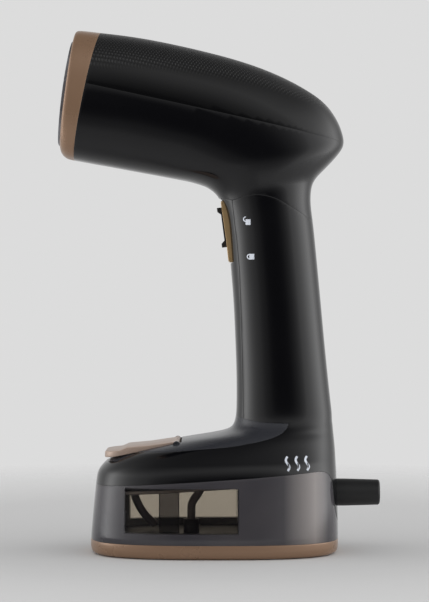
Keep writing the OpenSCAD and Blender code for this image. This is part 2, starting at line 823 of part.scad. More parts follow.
// ---- trigger and switch ----
trigger_axis = [10.4 * kx, 184.2 * kz];
trigger_hub_r = 2.6;
lug_t = 1.6;
trigger_face = [[3.4, 187.8], [4.0, 183], [5.2, 175], [6.3, 167], [7.2, 159], [7.5, 156.2], [8.3, 155.4],
    [10.1, 155.4], [10.4, 162], [10.6, 170], [10.4, 178], [9.6, 184], [7.4, 187.6], [6.4, 188.1], [4.0, 188.1]];
rib_w = 4;
press_z = 164.5 * kz;
plunger_tip_x = 15 * kx;

module trigger() {
    color([0.67, 0.55, 0.36]) difference() {
        union() {
            side_prism(placed(trigger_face), trigger_w);
            translate([trigger_axis[0], 0, trigger_axis[1]]) rotate([90, 0, 0])
                cylinder(r = trigger_hub_r, h = trigger_w, center = true);
            // rib that pushes the switch
            translate([9 * kx, -rib_w / 2, press_z - 3]) cube([plunger_tip_x - 9 * kx - 0.2, rib_w, 6]);
        }
        translate([trigger_axis[0], 0, trigger_axis[1]]) rotate([90, 0, 0])
            cylinder(r = trigger_pin_r + pin_gap, h = trigger_w + 2, center = true);
        slider_track(slip + 0.15);
        // pocket for the return spring
        translate([trigger_axis[0], 0, trigger_axis[1]]) rotate([90, 0, 0])
            cylinder(r = spring_pocket_r, h = spring_pocket_w, center = true);
    }
}

module trigger_pin() {
    color([0.6, 0.6, 0.62]) translate([trigger_axis[0], 0, trigger_axis[1]]) rotate([90, 0, 0])
        cylinder(r = trigger_pin_r, h = trigger_w + 2 * (trigger_gap + lug_t), center = true);
}

// Strip with a nub near each end, which runs along the trigger face
slide_lo = [6.35, 163.6];
slide_hi = [3.55, 184.8];
slide_run = unit(placed([slide_hi])[0] - placed([slide_lo])[0]);
slide_angle = atan2(slide_run[0], slide_run[1]);
slide_len = norm(placed([slide_hi])[0] - placed([slide_lo])[0]);
slide_travel = 6;
nub_l = 3.6;
nub_h = 1.8;
strip_t = 1;

module at_slider() translate([slide_lo[0] * kx, 0, slide_lo[1] * kz]) rotate([0, slide_angle, 0]) children();

module slider_track(gap) {
    at_slider() translate([-2 - far, -slider_w / 2 - gap, -slide_travel - gap])
        cube([far + 2 + strip_t / 2 + gap, slider_w + 2 * gap, slide_len + slide_travel + 2 * gap]);
}

module lock_slider() {
    color([0.03, 0.03, 0.03]) at_slider() {
        translate([-strip_t / 2, -slider_w / 2, 0]) cube([strip_t, slider_w, slide_len]);
        // wedge-shaped nubs, each with its steep side at the end of the strip
        for (side = [0, 1]) translate([-strip_t / 2, 0, side * slide_len]) mirror([0, 0, side])
            rotate([90, 0, 0]) linear_extrude(height = slider_w, center = true)
                polygon([[strip_t / 2, 0], [-nub_h, 0], [-nub_h, nub_l - 1.6], [0, nub_l], [strip_t / 2, nub_l]]);
    }
}

spring_pocket_r = 3.1;
spring_pocket_w = 4;
spring_wire = 0.35;

module trigger_spring() {
    color([0.8, 0.8, 0.8]) translate([trigger_axis[0], 0, trigger_axis[1]]) rotate([90, 0, 0])
        for (k = [-1 : 1]) translate([0, 0, 0.75 * k])
            rotate_extrude() translate([trigger_pin_r + spring_wire + 0.1, 0]) circle(r = spring_wire, $fn = 16);
}

module grip_front_strip() {
    slot_w = trigger_w + 2 * trigger_gap;
    color([0.06, 0.06, 0.07]) difference() {
        union() {
            moulded() intersection() {
                difference() {
                    form(0, 12, 27);
                    form(wall, 11, 28);
                    translate([-far / 2, -slot_w / 2, 154.6 * kz]) cube([far, slot_w, far]);
                }
                ahead_of(strip_line, -seam_gap);
                below(neck_line, -seam_gap);
                above(foot_line);
            }
            // ears that carry the trigger pin
            for (s = [-1, 1]) translate([trigger_axis[0], s * (slot_w + lug_t) / 2, trigger_axis[1]])
                rotate([90, 0, 0]) cylinder(r = trigger_hub_r, h = lug_t, center = true);
        }
        translate([trigger_axis[0], 0, trigger_axis[1]]) rotate([90, 0, 0])
            cylinder(r = trigger_pin_r + slip, h = trigger_w + 20, center = true);
    }
}

switch_x = 21 * kx;
switch_l = 20;
switch_d = 10;
switch_w = 6.4;
switch_plunger_r = 1.5;
switch_travel = 2.4;

module microswitch() {
    color([0.12, 0.12, 0.13]) translate([switch_x, 0, press_z]) difference() {
        translate([0, -switch_w / 2, -switch_l / 2]) cube([switch_d, switch_w, switch_l]);
        rotate([0, 90, 0]) translate([0, 0, -1]) cylinder(r = switch_plunger_r + slip, h = 1 + 4 + switch_travel);
        for (z = [-7, 7]) translate([5, 0, z]) rotate([90, 0, 0]) cylinder(r = 1.2, h = 20, center = true);
    }
}

module switch_plunger() {
    color([0.8, 0.2, 0.15]) translate([plunger_tip_x, 0, press_z]) rotate([0, 90, 0])
        cylinder(r = switch_plunger_r, h = switch_x + 3.5 - plunger_tip_x);
}

board_x = 42.5 * kx;
board_l = 34;
board_z = 138 * kz;

module control_board() {
    color([0.1, 0.35, 0.2]) translate([board_x, -11, board_z]) cube([1.6, 22, board_l]);
    color([0.15, 0.15, 0.4]) translate([board_x + 1.6 - slip, -8, board_z + 4]) cube([5, 10, 12]);
    color([0.8, 0.7, 0.2]) translate([board_x + 1.6 - slip, 5, board_z + 24]) rotate([0, 90, 0])
        cylinder(r = 3, h = 4.5);
}

// Padlock signs beside the two ends of the slider, printed on the side of the grip
icon_t = 0.12;
icon_open = [16.3, 176.3];
icon_shut = [18.3, 158];

module padlock(open) {
    shift = open ? 1.6 : 0;
    translate([0.2, -1.5]) square([2.6, 3]);
    translate([0, -shift]) difference() {
        translate([0.3, 0]) circle(r = 1.5, $fn = 24);
        translate([0.3, 0]) circle(r = 0.9, $fn = 24);
        translate([0.3, -3]) square([4, 6]);
    }
}

module lock_icons() {
    color([0.75, 0.79, 0.86]) moulded() intersection() {
        difference() {
            form(-icon_t - 0.03, 18, 24);
            form(-0.03, 17, 25);
        }
        union() {
            translate([icon_open[0] * kx, 0, icon_open[1] * kz]) rotate([90, 0, 0])
                linear_extrude(height = far) padlock(true);
            translate([icon_shut[0] * kx, 0, icon_shut[1] * kz]) rotate([90, 0, 0])
                linear_extrude(height = far) padlock(false);
        }
    }
}

// ---- cord guard ----
guard_tip_r = 6.7;
flange_r = 9.5;
flange_t = 2.4;
journal_len = 9;
guard_tip_x = guard_wall_x + guard_len;
flange_x = 59 * kx;

module cord_guard() {
    color([0.03, 0.03, 0.03]) translate([0, 0, guard_z]) rotate([0, 90, 0]) difference() {
        rotate_extrude($fn = 64) polygon([[guard_bore_r, flange_x - journal_len],
            [guard_r - pin_gap - 1, flange_x - journal_len], [guard_r - pin_gap - 1, flange_x],
            [flange_r, flange_x], [flange_r, flange_x + flange_t],
            [guard_r, flange_x + flange_t], [guard_r, guard_wall_x + 4], [guard_tip_r + 0.1, guard_tip_x - 0.9],
            [guard_tip_r - 0.3, guard_tip_x - 0.25], [guard_tip_r - 0.9, guard_tip_x],
            [guard_bore_r, guard_tip_x]]);
    }
}

module guard_seat() {
    block_w = 2 * flange_r + 10;
    foot_z = cover_h + tank_plate_t + 0.1;
    color([0.2, 0.2, 0.21]) difference() {
        translate([flange_x - journal_len + 1, -block_w / 2, foot_z])
            cube([journal_len - 1.4, block_w, guard_z + guard_r + 1 - foot_z]);
        translate([0, 0, guard_z]) rotate([0, 90, 0]) cylinder(r = guard_r - 1, h = far, $fn = 64);
        for (s = [-1, 1]) translate([flange_x - journal_len / 2, s * (flange_r + 1.6), guard_z])
            cylinder(r = 1.3 + slip, h = far);
    }
}

module seat_screws() {
    color([0.7, 0.7, 0.72]) for (s = [-1, 1])
        translate([flange_x - journal_len / 2, s * (flange_r + 1.6), guard_z]) {
            translate([0, 0, 1]) cylinder(r = 1.3, h = guard_r);
            translate([0, 0, guard_r + 1]) cylinder(r = 2.6, h = 1.6);
        }
}

base_cover();
foot_pad();
base_screws();
water_tank();
tank_floor();
tank_baffles();
tank_lid();
lid_seal();
tank_deck();
filler_cap();
filler_seal();
filler_pin();
pickup_hose();
pickup_weight();
vent_hose();
vent_valve();
grip_shell();
grip_front_strip();
lock_icons();
trigger();
trigger_pin();
trigger_spring();
lock_slider();
microswitch();
switch_plunger();
control_board();
pump_body();
pump_plunger();
pump_spring();
pump_bracket();
suction_hose();
delivery_hose();
head_lower_shell();
head_upper_shell();
face_bezel();
steam_plate();
plate_gasket();
steam_chamber();
chamber_cover();
chamber_screws();
heating_element();
thermostat();
thermal_fuse();
cord_guard();
guard_seat();
seat_screws();
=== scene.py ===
"""Garment steamer that stands on its own water tank: the looks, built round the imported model."""
import math

import bmesh
import bpy
import numpy as np
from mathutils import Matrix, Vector
from mathutils.bvhtree import BVHTree


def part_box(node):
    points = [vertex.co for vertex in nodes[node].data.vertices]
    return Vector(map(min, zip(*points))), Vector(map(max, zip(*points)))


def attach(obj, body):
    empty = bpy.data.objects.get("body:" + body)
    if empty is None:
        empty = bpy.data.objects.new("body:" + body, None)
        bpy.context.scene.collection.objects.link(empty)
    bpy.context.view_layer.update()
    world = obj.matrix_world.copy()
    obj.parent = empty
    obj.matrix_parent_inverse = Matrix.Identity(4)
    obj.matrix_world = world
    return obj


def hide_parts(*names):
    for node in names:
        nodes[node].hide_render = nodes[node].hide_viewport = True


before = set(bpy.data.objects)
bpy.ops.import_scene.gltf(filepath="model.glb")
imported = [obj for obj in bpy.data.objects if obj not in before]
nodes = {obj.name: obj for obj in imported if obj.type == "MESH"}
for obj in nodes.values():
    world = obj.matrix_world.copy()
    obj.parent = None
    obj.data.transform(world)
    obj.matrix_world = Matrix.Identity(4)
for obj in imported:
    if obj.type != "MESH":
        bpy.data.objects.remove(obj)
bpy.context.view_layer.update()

MM = 0.001

# ---- sizes from the frame, in millimetres ----
base_lo, base_hi = (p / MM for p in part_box("base_cover"))
tank_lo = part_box("water_tank")[0] / MM
bezel_lo, bezel_hi = (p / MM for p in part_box("face_bezel"))
cap_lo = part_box("filler_cap")[0] / MM
seal_lo, seal_hi = (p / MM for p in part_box("filler_seal"))
pin_lo, pin_hi = (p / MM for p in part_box("filler_pin"))
trigger_lo, trigger_hi = (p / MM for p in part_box("trigger"))
baffle_lo, baffle_hi = (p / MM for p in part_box("tank_baffles"))
pump_lo, pump_hi = (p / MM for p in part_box("pump_body"))
valve_lo, valve_hi = (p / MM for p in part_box("vent_valve"))
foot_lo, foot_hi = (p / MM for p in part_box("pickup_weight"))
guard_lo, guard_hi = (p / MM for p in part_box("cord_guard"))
NOMINAL_LEN = 132.8
NOMINAL_H = 279.6
KX = (base_hi.x - base_lo.x) / NOMINAL_LEN
KZ = bezel_hi.z / NOMINAL_H
BASE_W = base_hi.y - base_lo.y
HEAD_W = bezel_hi.y - bezel_lo.y
GRIP_W = 42.0
CAP_W = 40.0
WALL = 2.2
GAP = 0.16      # half the width of a parting line
EDGE = 0.3      # radius of the edges along a parting line

# Stations of the outer form: rear or top point x, z, front or lower point x, z,
# share of base width, share of head width, corner exponent
STATIONS = [
    (64.0, 0, -64.0, 0, 0.896, 0, 2.8),
    (65.6, 1.2, -65.6, 1.2, 0.965, 0, 2.8),
    (66.3, 3.6, -66.3, 3.6, 1, 0, 2.8),
    (66.4, 7.5, -66.4, 7.5, 1, 0, 2.8),
    (66.2, 24, -65.2, 22, 0.965, 0, 2.8),
    (65.6, 40, -63.6, 38, 0.913, 0, 2.8),
    (65.3, 46, -62.6, 43.5, 0.878, 0, 2.8),
    (65.1, 50, -60.4, 46.7, 0.817, 0, 2.75),
    (64.9, 54, -56.2, 50.5, 0.704, 0, 2.7),
    (64.6, 58, -47, 54.5, 0.565, 0, 2.65),
    (64.2, 62, -34, 57.5, 0.457, 0, 2.6),
    (63.9, 65, -20, 60.5, 0.33, 0, 2.5),
    (63.7, 67.5, -3.8, 62.9, 0.217, 0, 2.5),
    (63.4, 70, 7.6, 65.6, 0.126, 0, 2.4),
    (63.3, 73, 10.6, 69, 0.078, 0, 2.4),
    (63.1, 76, 11.6, 73.5, 0.052, 0, 2.4),
    (62.4, 82, 11.9, 80, 0.035, 0, 2.4),
    (61, 95, 11.9, 95, 0.017, 0, 2.4),
    (59, 115, 11.2, 115, 0, 0, 2.4),
    (56.9, 138, 10.2, 136, 0, 0, 2.4),
    (54.8, 160, 8.6, 155, 0, 0, 2.4),
    (53.3, 175, 7.5, 170, 0, 0, 2.4),
    (52.1, 184, 6.2, 180, 0, 0, 2.4),
    (51.8, 190, 4.4, 186, 0, 0.02, 2.4),
    (52.4, 196, 2.6, 189.5, 0, 0.08, 2.4),
    (54.6, 200.5, 0.8, 192, 0, 0.2, 2.4),
    (59, 205, -1.8, 194.3, 0, 0.35, 2.4),
    (64.2, 210.4, -5, 196.2, 0, 0.5, 2.4),
    (68.4, 215.6, -9.5, 197.7, 0, 0.61, 2.4),
    (69.7, 219.3, -14, 198.9, 0, 0.68, 2.4),
    (69.2, 223.6, -19, 199.9, 0, 0.73, 2.4),
    (66.4, 231.4, -25, 201, 0, 0.78, 2.4),
    (60, 240.4, -31.9, 202.3, 0, 0.825, 2.4),
    (50.2, 247.6, -38, 203.4, 0, 0.86, 2.4),
    (36, 255.2, -45, 204.7, 0, 0.9, 2.45),
    (18, 262.2, -51.5, 205.9, 0, 0.925, 2.5),
    (-2, 267.8, -58, 207.1, 0, 0.95, 2.5),
    (-24, 272.8, -64.4, 208.2, 0, 0.975, 2.55),
    (-43.7, 276.4, -70.5, 209.4, 0, 0.99, 2.6),
    (-62.6, 278.6, -77.2, 210.6, 0, 1, 2.6),
    (-68.5, 279.3, -80.2, 211.6, 0, 1, 2.6),
    (-73, 279.6, -82.2, 213.6, 0, 0.99, 2.6),
    (-74.1, 278.8, -82.8, 215.8, 0, 0.86, 2.6),
]
JOINT_STATION = 39
JOINT_BOW = 0.9
JOINT_SET = 1.8
PLATE_DROP = 1.5
AROUND = 112
PER_SPAN = 5
RELAX = 6

# Parting lines in side view, x and z
TANK_LINE = [(-90, 36.4), (-63, 36.8), (-20, 39.55), (20, 42.2), (54, 44.9), (58, 44.8), (60.6, 43.4),
             (62.1, 40), (63, 33), (64, 24), (66, 16), (90, 16)]
DECK_LINE = [(-90, 54.1), (-48, 54.5), (-28, 55.1), (-5, 57), (8, 58), (21, 60.2), (30, 62.3), (35.6, 64.6),
             (38.4, 67.3), (39.2, 69.6), (39.6, 100)]
FOOT_LINE = [(-90, 74), (12.3, 72.6), (24.5, 70.2), (36, 69.85), (90, 69.5)]
STRIP_LINE = [(9.4, 195), (9.6, 186), (10.8, 174.8), (11.8, 167.7), (12.3, 162), (13.3, 151), (14.4, 121),
              (14.95, 99), (15.4, 60)]
NECK_LINE = [(-90, 189.8), (3.4, 189.8), (9.7, 187.5), (15.5, 189.8), (22.7, 190.9), (29, 190), (34.6, 188),
             (51.8, 178), (90, 156)]
HEAD_LINE = [(-110, 258), (110, 210.6)]
CAP_TOP = [(-58.4, 54.6), (-50.3, 55.3), (-46.5, 56.9), (-34.4, 58), (-20.2, 60.1)]
CAP_UNDER = [(-58.6, 51.3), (-53, 51.9), (-43, 53.9), (-33, 55.3), (-20.2, 57.6)]


# ---- surfaces as (points, faces), in millimetres ----
def smooth_rows(rows, per_span, passes):
    """A smooth run of rows through the given ones, relaxed a little so that its curvature flows."""
    r = np.array(rows, float)
    r = np.vstack([2 * r[0] - r[1], r, 2 * r[-1] - r[-2]])
    out = []
    for a, b, c, d in zip(r[:-3], r[1:-2], r[2:-1], r[3:]):
        for t in np.arange(per_span) / per_span:
            out.append(0.5 * (2 * b + (c - a) * t + (2 * a - 5 * b + 4 * c - d) * t * t
                              + (3 * b - a - 3 * c + d) * t ** 3))
    out = np.array(out + [r[-2]])
    for _ in range(passes):
        out[1:-1] = 0.25 * out[:-2] + 0.5 * out[1:-1] + 0.25 * out[2:]
    return out


def signed_power(v, e):
    return np.sign(v) * np.abs(v) ** e


def half_width(base_share, head_share):
    return (GRIP_W + base_share * (BASE_W - GRIP_W) + head_share * (HEAD_W - GRIP_W)) / 2


ROWS = smooth_rows([(a * KX, b * KZ, c * KX, d * KZ, half_width(s, h), e)
                    for a, b, c, d, s, h, e in STATIONS],
                   PER_SPAN, RELAX)
ROWS[:, 4] = np.minimum(ROWS[:, 4], BASE_W / 2)
foot_rows = ROWS[7 * PER_SPAN:18 * PER_SPAN]
for _ in range(40):
    foot_rows[1:-1, 4] = 0.25 * foot_rows[:-2, 4] + 0.5 * foot_rows[1:-1, 4] + 0.25 * foot_rows[2:, 4]
TURN = np.arange(AROUND) * 2 * math.pi / AROUND


def ring_of(row, inset=0.0):
    """One section of the outer form."""
    a, b = row[0:2], row[2:4]
    mid, arm = (a + b) / 2, (a - b) / 2
    arm = arm * (1 - inset / np.linalg.norm(arm))
    u = signed_power(np.cos(TURN), 2 / row[5])
    v = (row[4] - inset) * signed_power(np.sin(TURN), 2 / row[5])
    return np.stack([mid[0] + arm[0] * u, v, mid[1] + arm[1] * u], 1)


def level_ring(half_x, half_y, z, exponent):
    """One flat rounded outline round the origin."""
    return np.stack([half_x * signed_power(np.cos(TURN), 2 / exponent),
                     half_y * signed_power(np.sin(TURN), 2 / exponent), np.full(AROUND, z)], 1)


def loft(rings, cap_first=False, cap_last=False):
    """Quads between neighbouring rings of the same size, with flat ends where asked."""
    n = len(rings[0])
    faces = [(i * n + k, i * n + (k + 1) % n, (i + 1) * n + (k + 1) % n, (i + 1) * n + k)
             for i in range(len(rings) - 1) for k in range(n)]
    if cap_first:
        faces.append(tuple(range(n - 1, -1, -1)))
    if cap_last:
        faces.append(tuple(range((len(rings) - 1) * n, len(rings) * n)))
    return np.vstack(rings), faces


def form(first, last, inset=0.0, closed=False):
    """The outer form between two stations."""
    rows = ROWS[first * PER_SPAN:last * PER_SPAN + 1]
    return loft([ring_of(r, inset) for r in rows], closed, closed)


def placed(line):
    return np.array([(x * KX, z * KZ) for x, z in line], float)


def eased(line, step=1.0, passes=5):
    """A parting line in short even steps with its corners eased."""
    p = placed(line)
    run = np.concatenate([[0], np.cumsum(np.linalg.norm(np.diff(p, axis=0), axis=1))])
    at = np.linspace(0, run[-1], int(run[-1] / step) + 1)
    q = np.stack([np.interp(at, run, p[:, 0]), np.interp(at, run, p[:, 1])], 1)
    for _ in range(passes):
        q[1:-1] = 0.25 * q[:-2] + 0.5 * q[1:-1] + 0.25 * q[2:]
    return q


def left_of(line):
    """A field: the distance in side view from a line, positive on the left of its run."""
    p = eased(line)
    a, run = p[:-1], np.diff(p, axis=0)

    def field(v):
        q = v[:, [0, 2]]
        t = np.clip((((q[:, None] - a) * run).sum(2)) / (run * run).sum(1), 0, 1)
        d = np.linalg.norm(q[:, None] - (a + t[:, :, None] * run), axis=2)
        i = d.argmin(1)
        off = q - a[i]
        cross = run[i, 0] * off[:, 1] - run[i, 1] * off[:, 0]
        return np.where(cross >= 0, 1, -1) * d[np.arange(len(v)), i]
    return field


above_tank, above_deck, above_foot = left_of(TANK_LINE), left_of(DECK_LINE), left_of(FOOT_LINE)
above_neck, above_head, behind_strip = left_of(NECK_LINE), left_of(HEAD_LINE), left_of(STRIP_LINE)


def station_points(i):
    a, b, c, d = STATIONS[i][:4]
    return np.array([a * KX, b * KZ]), np.array([c * KX, d * KZ])


joint_top, joint_bottom = (p + (JOINT_SET, 0) for p in station_points(JOINT_STATION))
joint_half = np.linalg.norm(joint_top - joint_bottom) / 2
joint_run = (joint_top - joint_bottom) / (2 * joint_half)
joint_r = (joint_half ** 2 + JOINT_BOW ** 2) / (2 * JOINT_BOW)
joint_axis = (joint_top + joint_bottom) / 2 + (joint_r - JOINT_BOW) * np.array([joint_run[1], -joint_run[0]])


def behind_joint(v):
    """A field: positive behind the bowed joint between the head and the bezel."""
    return joint_r - np.linalg.norm(v[:, [0, 2]] - joint_axis, axis=1)


def clip(mesh, field, level=0.0, near=0.3):
    """Keeps the part of a surface where field is over level. Points close to the line are drawn onto it."""
    v, f = mesh
    val = field(v) - level
    crossings = {}
    for i, j in {(min(i, j), max(i, j)) for face in f for i, j in zip(face, face[1:] + face[:1])}:
        if val[i] * val[j] < 0:
            t = val[i] / (val[i] - val[j])
            for k, share in ((i, t), (j, 1 - t)):
                if share < crossings.get(k, (near, None))[0]:
                    crossings[k] = (share, v[i] + (v[j] - v[i]) * t)
    v = v.copy()
    for k, (_, point) in crossings.items():
        v[k] = point
        val[k] = 0
    points, faces, cut = list(v), [], {}
    for face in f:
        if not any(val[i] > 0 for i in face):
            continue
        loop = []
        for i, j in zip(face, face[1:] + face[:1]):
            if val[i] >= 0:
                loop.append(i)
            if val[i] * val[j] < 0:
                key = (min(i, j), max(i, j))
                if key not in cut:
                    a, b = key
                    cut[key] = len(points)
                    points.append(v[a] + (v[b] - v[a]) * val[a] / (val[a] - val[b]))
                loop.append(cut[key])
        if len(loop) > 2:
            faces.append(tuple(loop))
    used = sorted({i for face in faces for i in face})
    index = {old: new for new, old in enumerate(used)}
    return np.array([points[i] for i in used]), [tuple(index[i] for i in face) for face in faces]


def negative(field):
    return lambda v: -field(v)


def join(*meshes):
    points, faces, count = [], [], 0
    for v, f in meshes:
        points.append(np.asarray(v, float))
        faces += [tuple(i + count for i in face) for face in f]
        count += len(v)
    return np.vstack(points), faces


def weld(mesh, size=0.04):
    """Merges points closer than size and drops the faces that collapse."""
    bm = to_bmesh(mesh)
    bmesh.ops.remove_doubles(bm, verts=bm.verts, dist=size)
    bmesh.ops.dissolve_degenerate(bm, edges=bm.edges, dist=size / 4)
    bm.verts.index_update()
    out = (np.array([p.co[:] for p in bm.verts]), [tuple(p.index for p in face.verts) for face in bm.faces])
    bm.free()
    return out


def to_bmesh(mesh):
    bm = bmesh.new()
    made = [bm.verts.new(p) for p in mesh[0]]
    for face in mesh[1]:
        if len(set(face)) > 2 and not bm.faces.get([made[i] for i in face]):
            bm.faces.new([made[i] for i in face])
    bm.verts.index_update()
    return bm


def point_normals(v, f):
    n = np.zeros_like(v)
    for size in {len(face) for face in f}:
        ids = np.array([face for face in f if len(face) == size])
        p = v[ids]
        rel = p - p[:, :1]
        c = np.cross(rel, np.roll(rel, -1, 1)).sum(1)
        for k in range(size):
            np.add.at(n, ids[:, k], c)
    return n / np.maximum(np.linalg.norm(n, axis=1), 1e-12)[:, None]


def thicken(mesh, thickness, edge=EDGE):
    """A closed shell: the surface, a rounded edge along its rim, and an inner surface."""
    v, f = mesh
    n = point_normals(v, f)
    sides = {(i, j): None for face in f for i, j in zip(face, face[1:] + face[:1])}
    rim = [(i, j) for i, j in sides if (j, i) not in sides]
    out = np.zeros_like(v)
    for i, j in rim:
        c = np.cross(v[j] - v[i], n[i] + n[j])
        out[i] += c
        out[j] += c
    at = sorted({i for pair in rim for i in pair})
    spot = {i: k for k, i in enumerate(at)}
    p, m = v[at], n[at]
    q = out[at] / np.maximum(np.linalg.norm(out[at], axis=1), 1e-9)[:, None]
    layers = [p + edge * (q * math.sin(a) - m * (1 - math.cos(a))) for a in np.radians([30, 60, 90])]
    layers.append(p + edge * q - thickness * m)
    count = len(v)
    inner = count + len(layers) * len(at)

    def index(layer, i):
        if layer == 0:
            return i
        if layer > len(layers):
            return inner + i
        return count + (layer - 1) * len(at) + spot[i]

    faces = list(f)
    for layer in range(len(layers) + 1):
        faces += [(index(layer, j), index(layer, i), index(layer + 1, i), index(layer + 1, j))
                  for i, j in rim]
    faces += [tuple(inner + i for i in reversed(face)) for face in f]
    return np.vstack([v, *layers, v - n * thickness]), faces


def prism(outline, y0, y1):
    """Outline in side view, x and z, drawn across from y0 to y1."""
    n = len(outline)
    near = [(x, y0, z) for x, z in outline]
    far_side = [(x, y1, z) for x, z in outline]
    faces = [(k, (k + 1) % n, n + (k + 1) % n, n + k) for k in range(n)]
    return np.array(near + far_side, float), faces + [tuple(range(n - 1, -1, -1)), tuple(range(n, 2 * n))]


def tube(path, radius, around=20):
    """Round tube along a smooth path."""
    p = smooth_rows(path, 6, 2)
    rings = []
    side = None
    for i in range(len(p)):
        run = p[min(i + 1, len(p) - 1)] - p[max(i - 1, 0)]
        run /= np.linalg.norm(run)
        side = np.cross(run, [0, 1, 0]) if side is None else side - run * (side @ run)
        side /= np.linalg.norm(side)
        other = np.cross(run, side)
        turn = np.arange(around) * 2 * math.pi / around
        rings.append(p[i] + radius * (np.cos(turn)[:, None] * side + np.sin(turn)[:, None] * other))
    return loft(rings, True, True)


# ---- objects ----
def make(name, mesh, sharp=38):
    bm = to_bmesh(mesh)
    bmesh.ops.recalc_face_normals(bm, faces=bm.faces)
    bmesh.ops.scale(bm, vec=(MM, MM, MM), verts=bm.verts)
    data = bpy.data.meshes.new(name)
    bm.to_mesh(data)
    bm.free()
    data.shade_smooth()
    data.set_sharp_from_angle(angle=math.radians(sharp))
    obj = bpy.data.objects.new(name, data)
    bpy.context.scene.collection.objects.link(obj)
    return obj


def baked(obj, sharp=38):
    """The object with its modifiers applied."""
    bpy.context.view_layer.update()
    graph = bpy.context.evaluated_depsgraph_get()
    data = bpy.data.meshes.new_from_object(obj.evaluated_get(graph))
    obj.modifiers.clear()
    obj.data = data
    data.shade_smooth()
    data.set_sharp_from_angle(angle=math.radians(sharp))
    return obj


def cut_with(obj, operation, *meshes, sharp=38):
    """Cuts or joins closed meshes with the object."""
    for k, mesh in enumerate(meshes):
        tool = make("tool", mesh)
        modifier = obj.modifiers.new("cut", "BOOLEAN")
        modifier.operation = operation
        modifier.solver = "EXACT"
        modifier.object = tool
        baked(obj, sharp)
        bpy.data.objects.remove(tool)
    return obj


def bevelled(obj, width, segments=3, angle=35, sharp=50):
    modifier = obj.modifiers.new("edge", "BEVEL")
    modifier.width = width * MM
    modifier.segments = segments
    modifier.limit_method = "ANGLE"
    modifier.angle_limit = math.radians(angle)
    modifier.harden_normals = False
    return baked(obj, sharp)


def drum(x, y, z, r0, r1, length, axis="z", around=48):
    """Closed drum or cone that starts at a point and runs along an axis."""
    turn = np.arange(around) * 2 * math.pi / around
    rings = []
    for r, h in ((r0, 0), (r1, length)):
        c, s, h = r * np.cos(turn), r * np.sin(turn), np.full(around, float(h))
        rings.append(np.stack({"x": (h, c, s), "y": (s, h, c), "z": (c, s, h)}[axis], 1) + (x, y, z))
    return loft(rings, True, True)


# ---- materials ----
def shader(name):
    mat = bpy.data.materials.new(name)
    mat.use_nodes = True
    return mat, mat.node_tree, mat.node_tree.nodes["Principled BSDF"]


def add(tree, kind, **values):
    node = tree.nodes.new(kind)
    for key, value in values.items():
        if key in node.inputs:
            node.inputs[key].default_value = value
        else:
            setattr(node, key, value)
    return node


def link(tree, a, b):
    tree.links.new(a, b)


def noise(tree, scale, detail=4.0, stretch=(1, 1, 1)):
    """Noise through the object's own coordinates, with its scale per metre."""
    place = add(tree, "ShaderNodeTexCoord")
    size = add(tree, "ShaderNodeMapping")
    size.inputs["Scale"].default_value = stretch
    grain = add(tree, "ShaderNodeTexNoise", Scale=scale, Detail=detail)
    link(tree, place.outputs["Object"], size.inputs["Vector"])
    link(tree, size.outputs["Vector"], grain.inputs["Vector"])
    return grain.outputs["Fac"]


def ranged(tree, source, low, high, start=0.3, end=0.7):
    node = add(tree, "ShaderNodeMapRange")
    for key, value in (("From Min", start), ("From Max", end), ("To Min", low), ("To Max", high)):
        node.inputs[key].default_value = value
    link(tree, source, node.inputs["Value"])
    return node.outputs["Result"]


def blended(tree, source, first, second):
    node = add(tree, "ShaderNodeMix", data_type="RGBA")
    link(tree, source, node.inputs["Factor"])
    sockets = [s for s in node.inputs if s.type == "RGBA"]
    sockets[0].default_value, sockets[1].default_value = (*first, 1), (*second, 1)
    return [s for s in node.outputs if s.type == "RGBA"][0]


def bumped(tree, bsdf, source, distance, strength=1.0):
    node = add(tree, "ShaderNodeBump", Strength=strength, Distance=distance)
    link(tree, source, node.inputs["Height"])
    link(tree, node.outputs["Normal"], bsdf.inputs["Normal"])
    return node


def plastic(name, dark, light, rough, grain=900.0, bump=0.000004, spread=0.04, metallic=0.0, specular=0.5,
            patch=14.0, coat=0.0):
    """Moulded or painted surface: slow colour drift, uneven gloss, and a fine grain."""
    mat, tree, bsdf = shader(name)
    bsdf.inputs["Metallic"].default_value = metallic
    bsdf.inputs["Specular IOR Level"].default_value = specular
    bsdf.inputs["Coat Weight"].default_value = coat
    bsdf.inputs["Coat Roughness"].default_value = 0.06
    link(tree, blended(tree, noise(tree, patch), dark, light), bsdf.inputs["Base Color"])
    link(tree, ranged(tree, noise(tree, patch * 4), rough, rough + spread), bsdf.inputs["Roughness"])
    bumped(tree, bsdf, noise(tree, grain, 2.0), bump)
    return mat


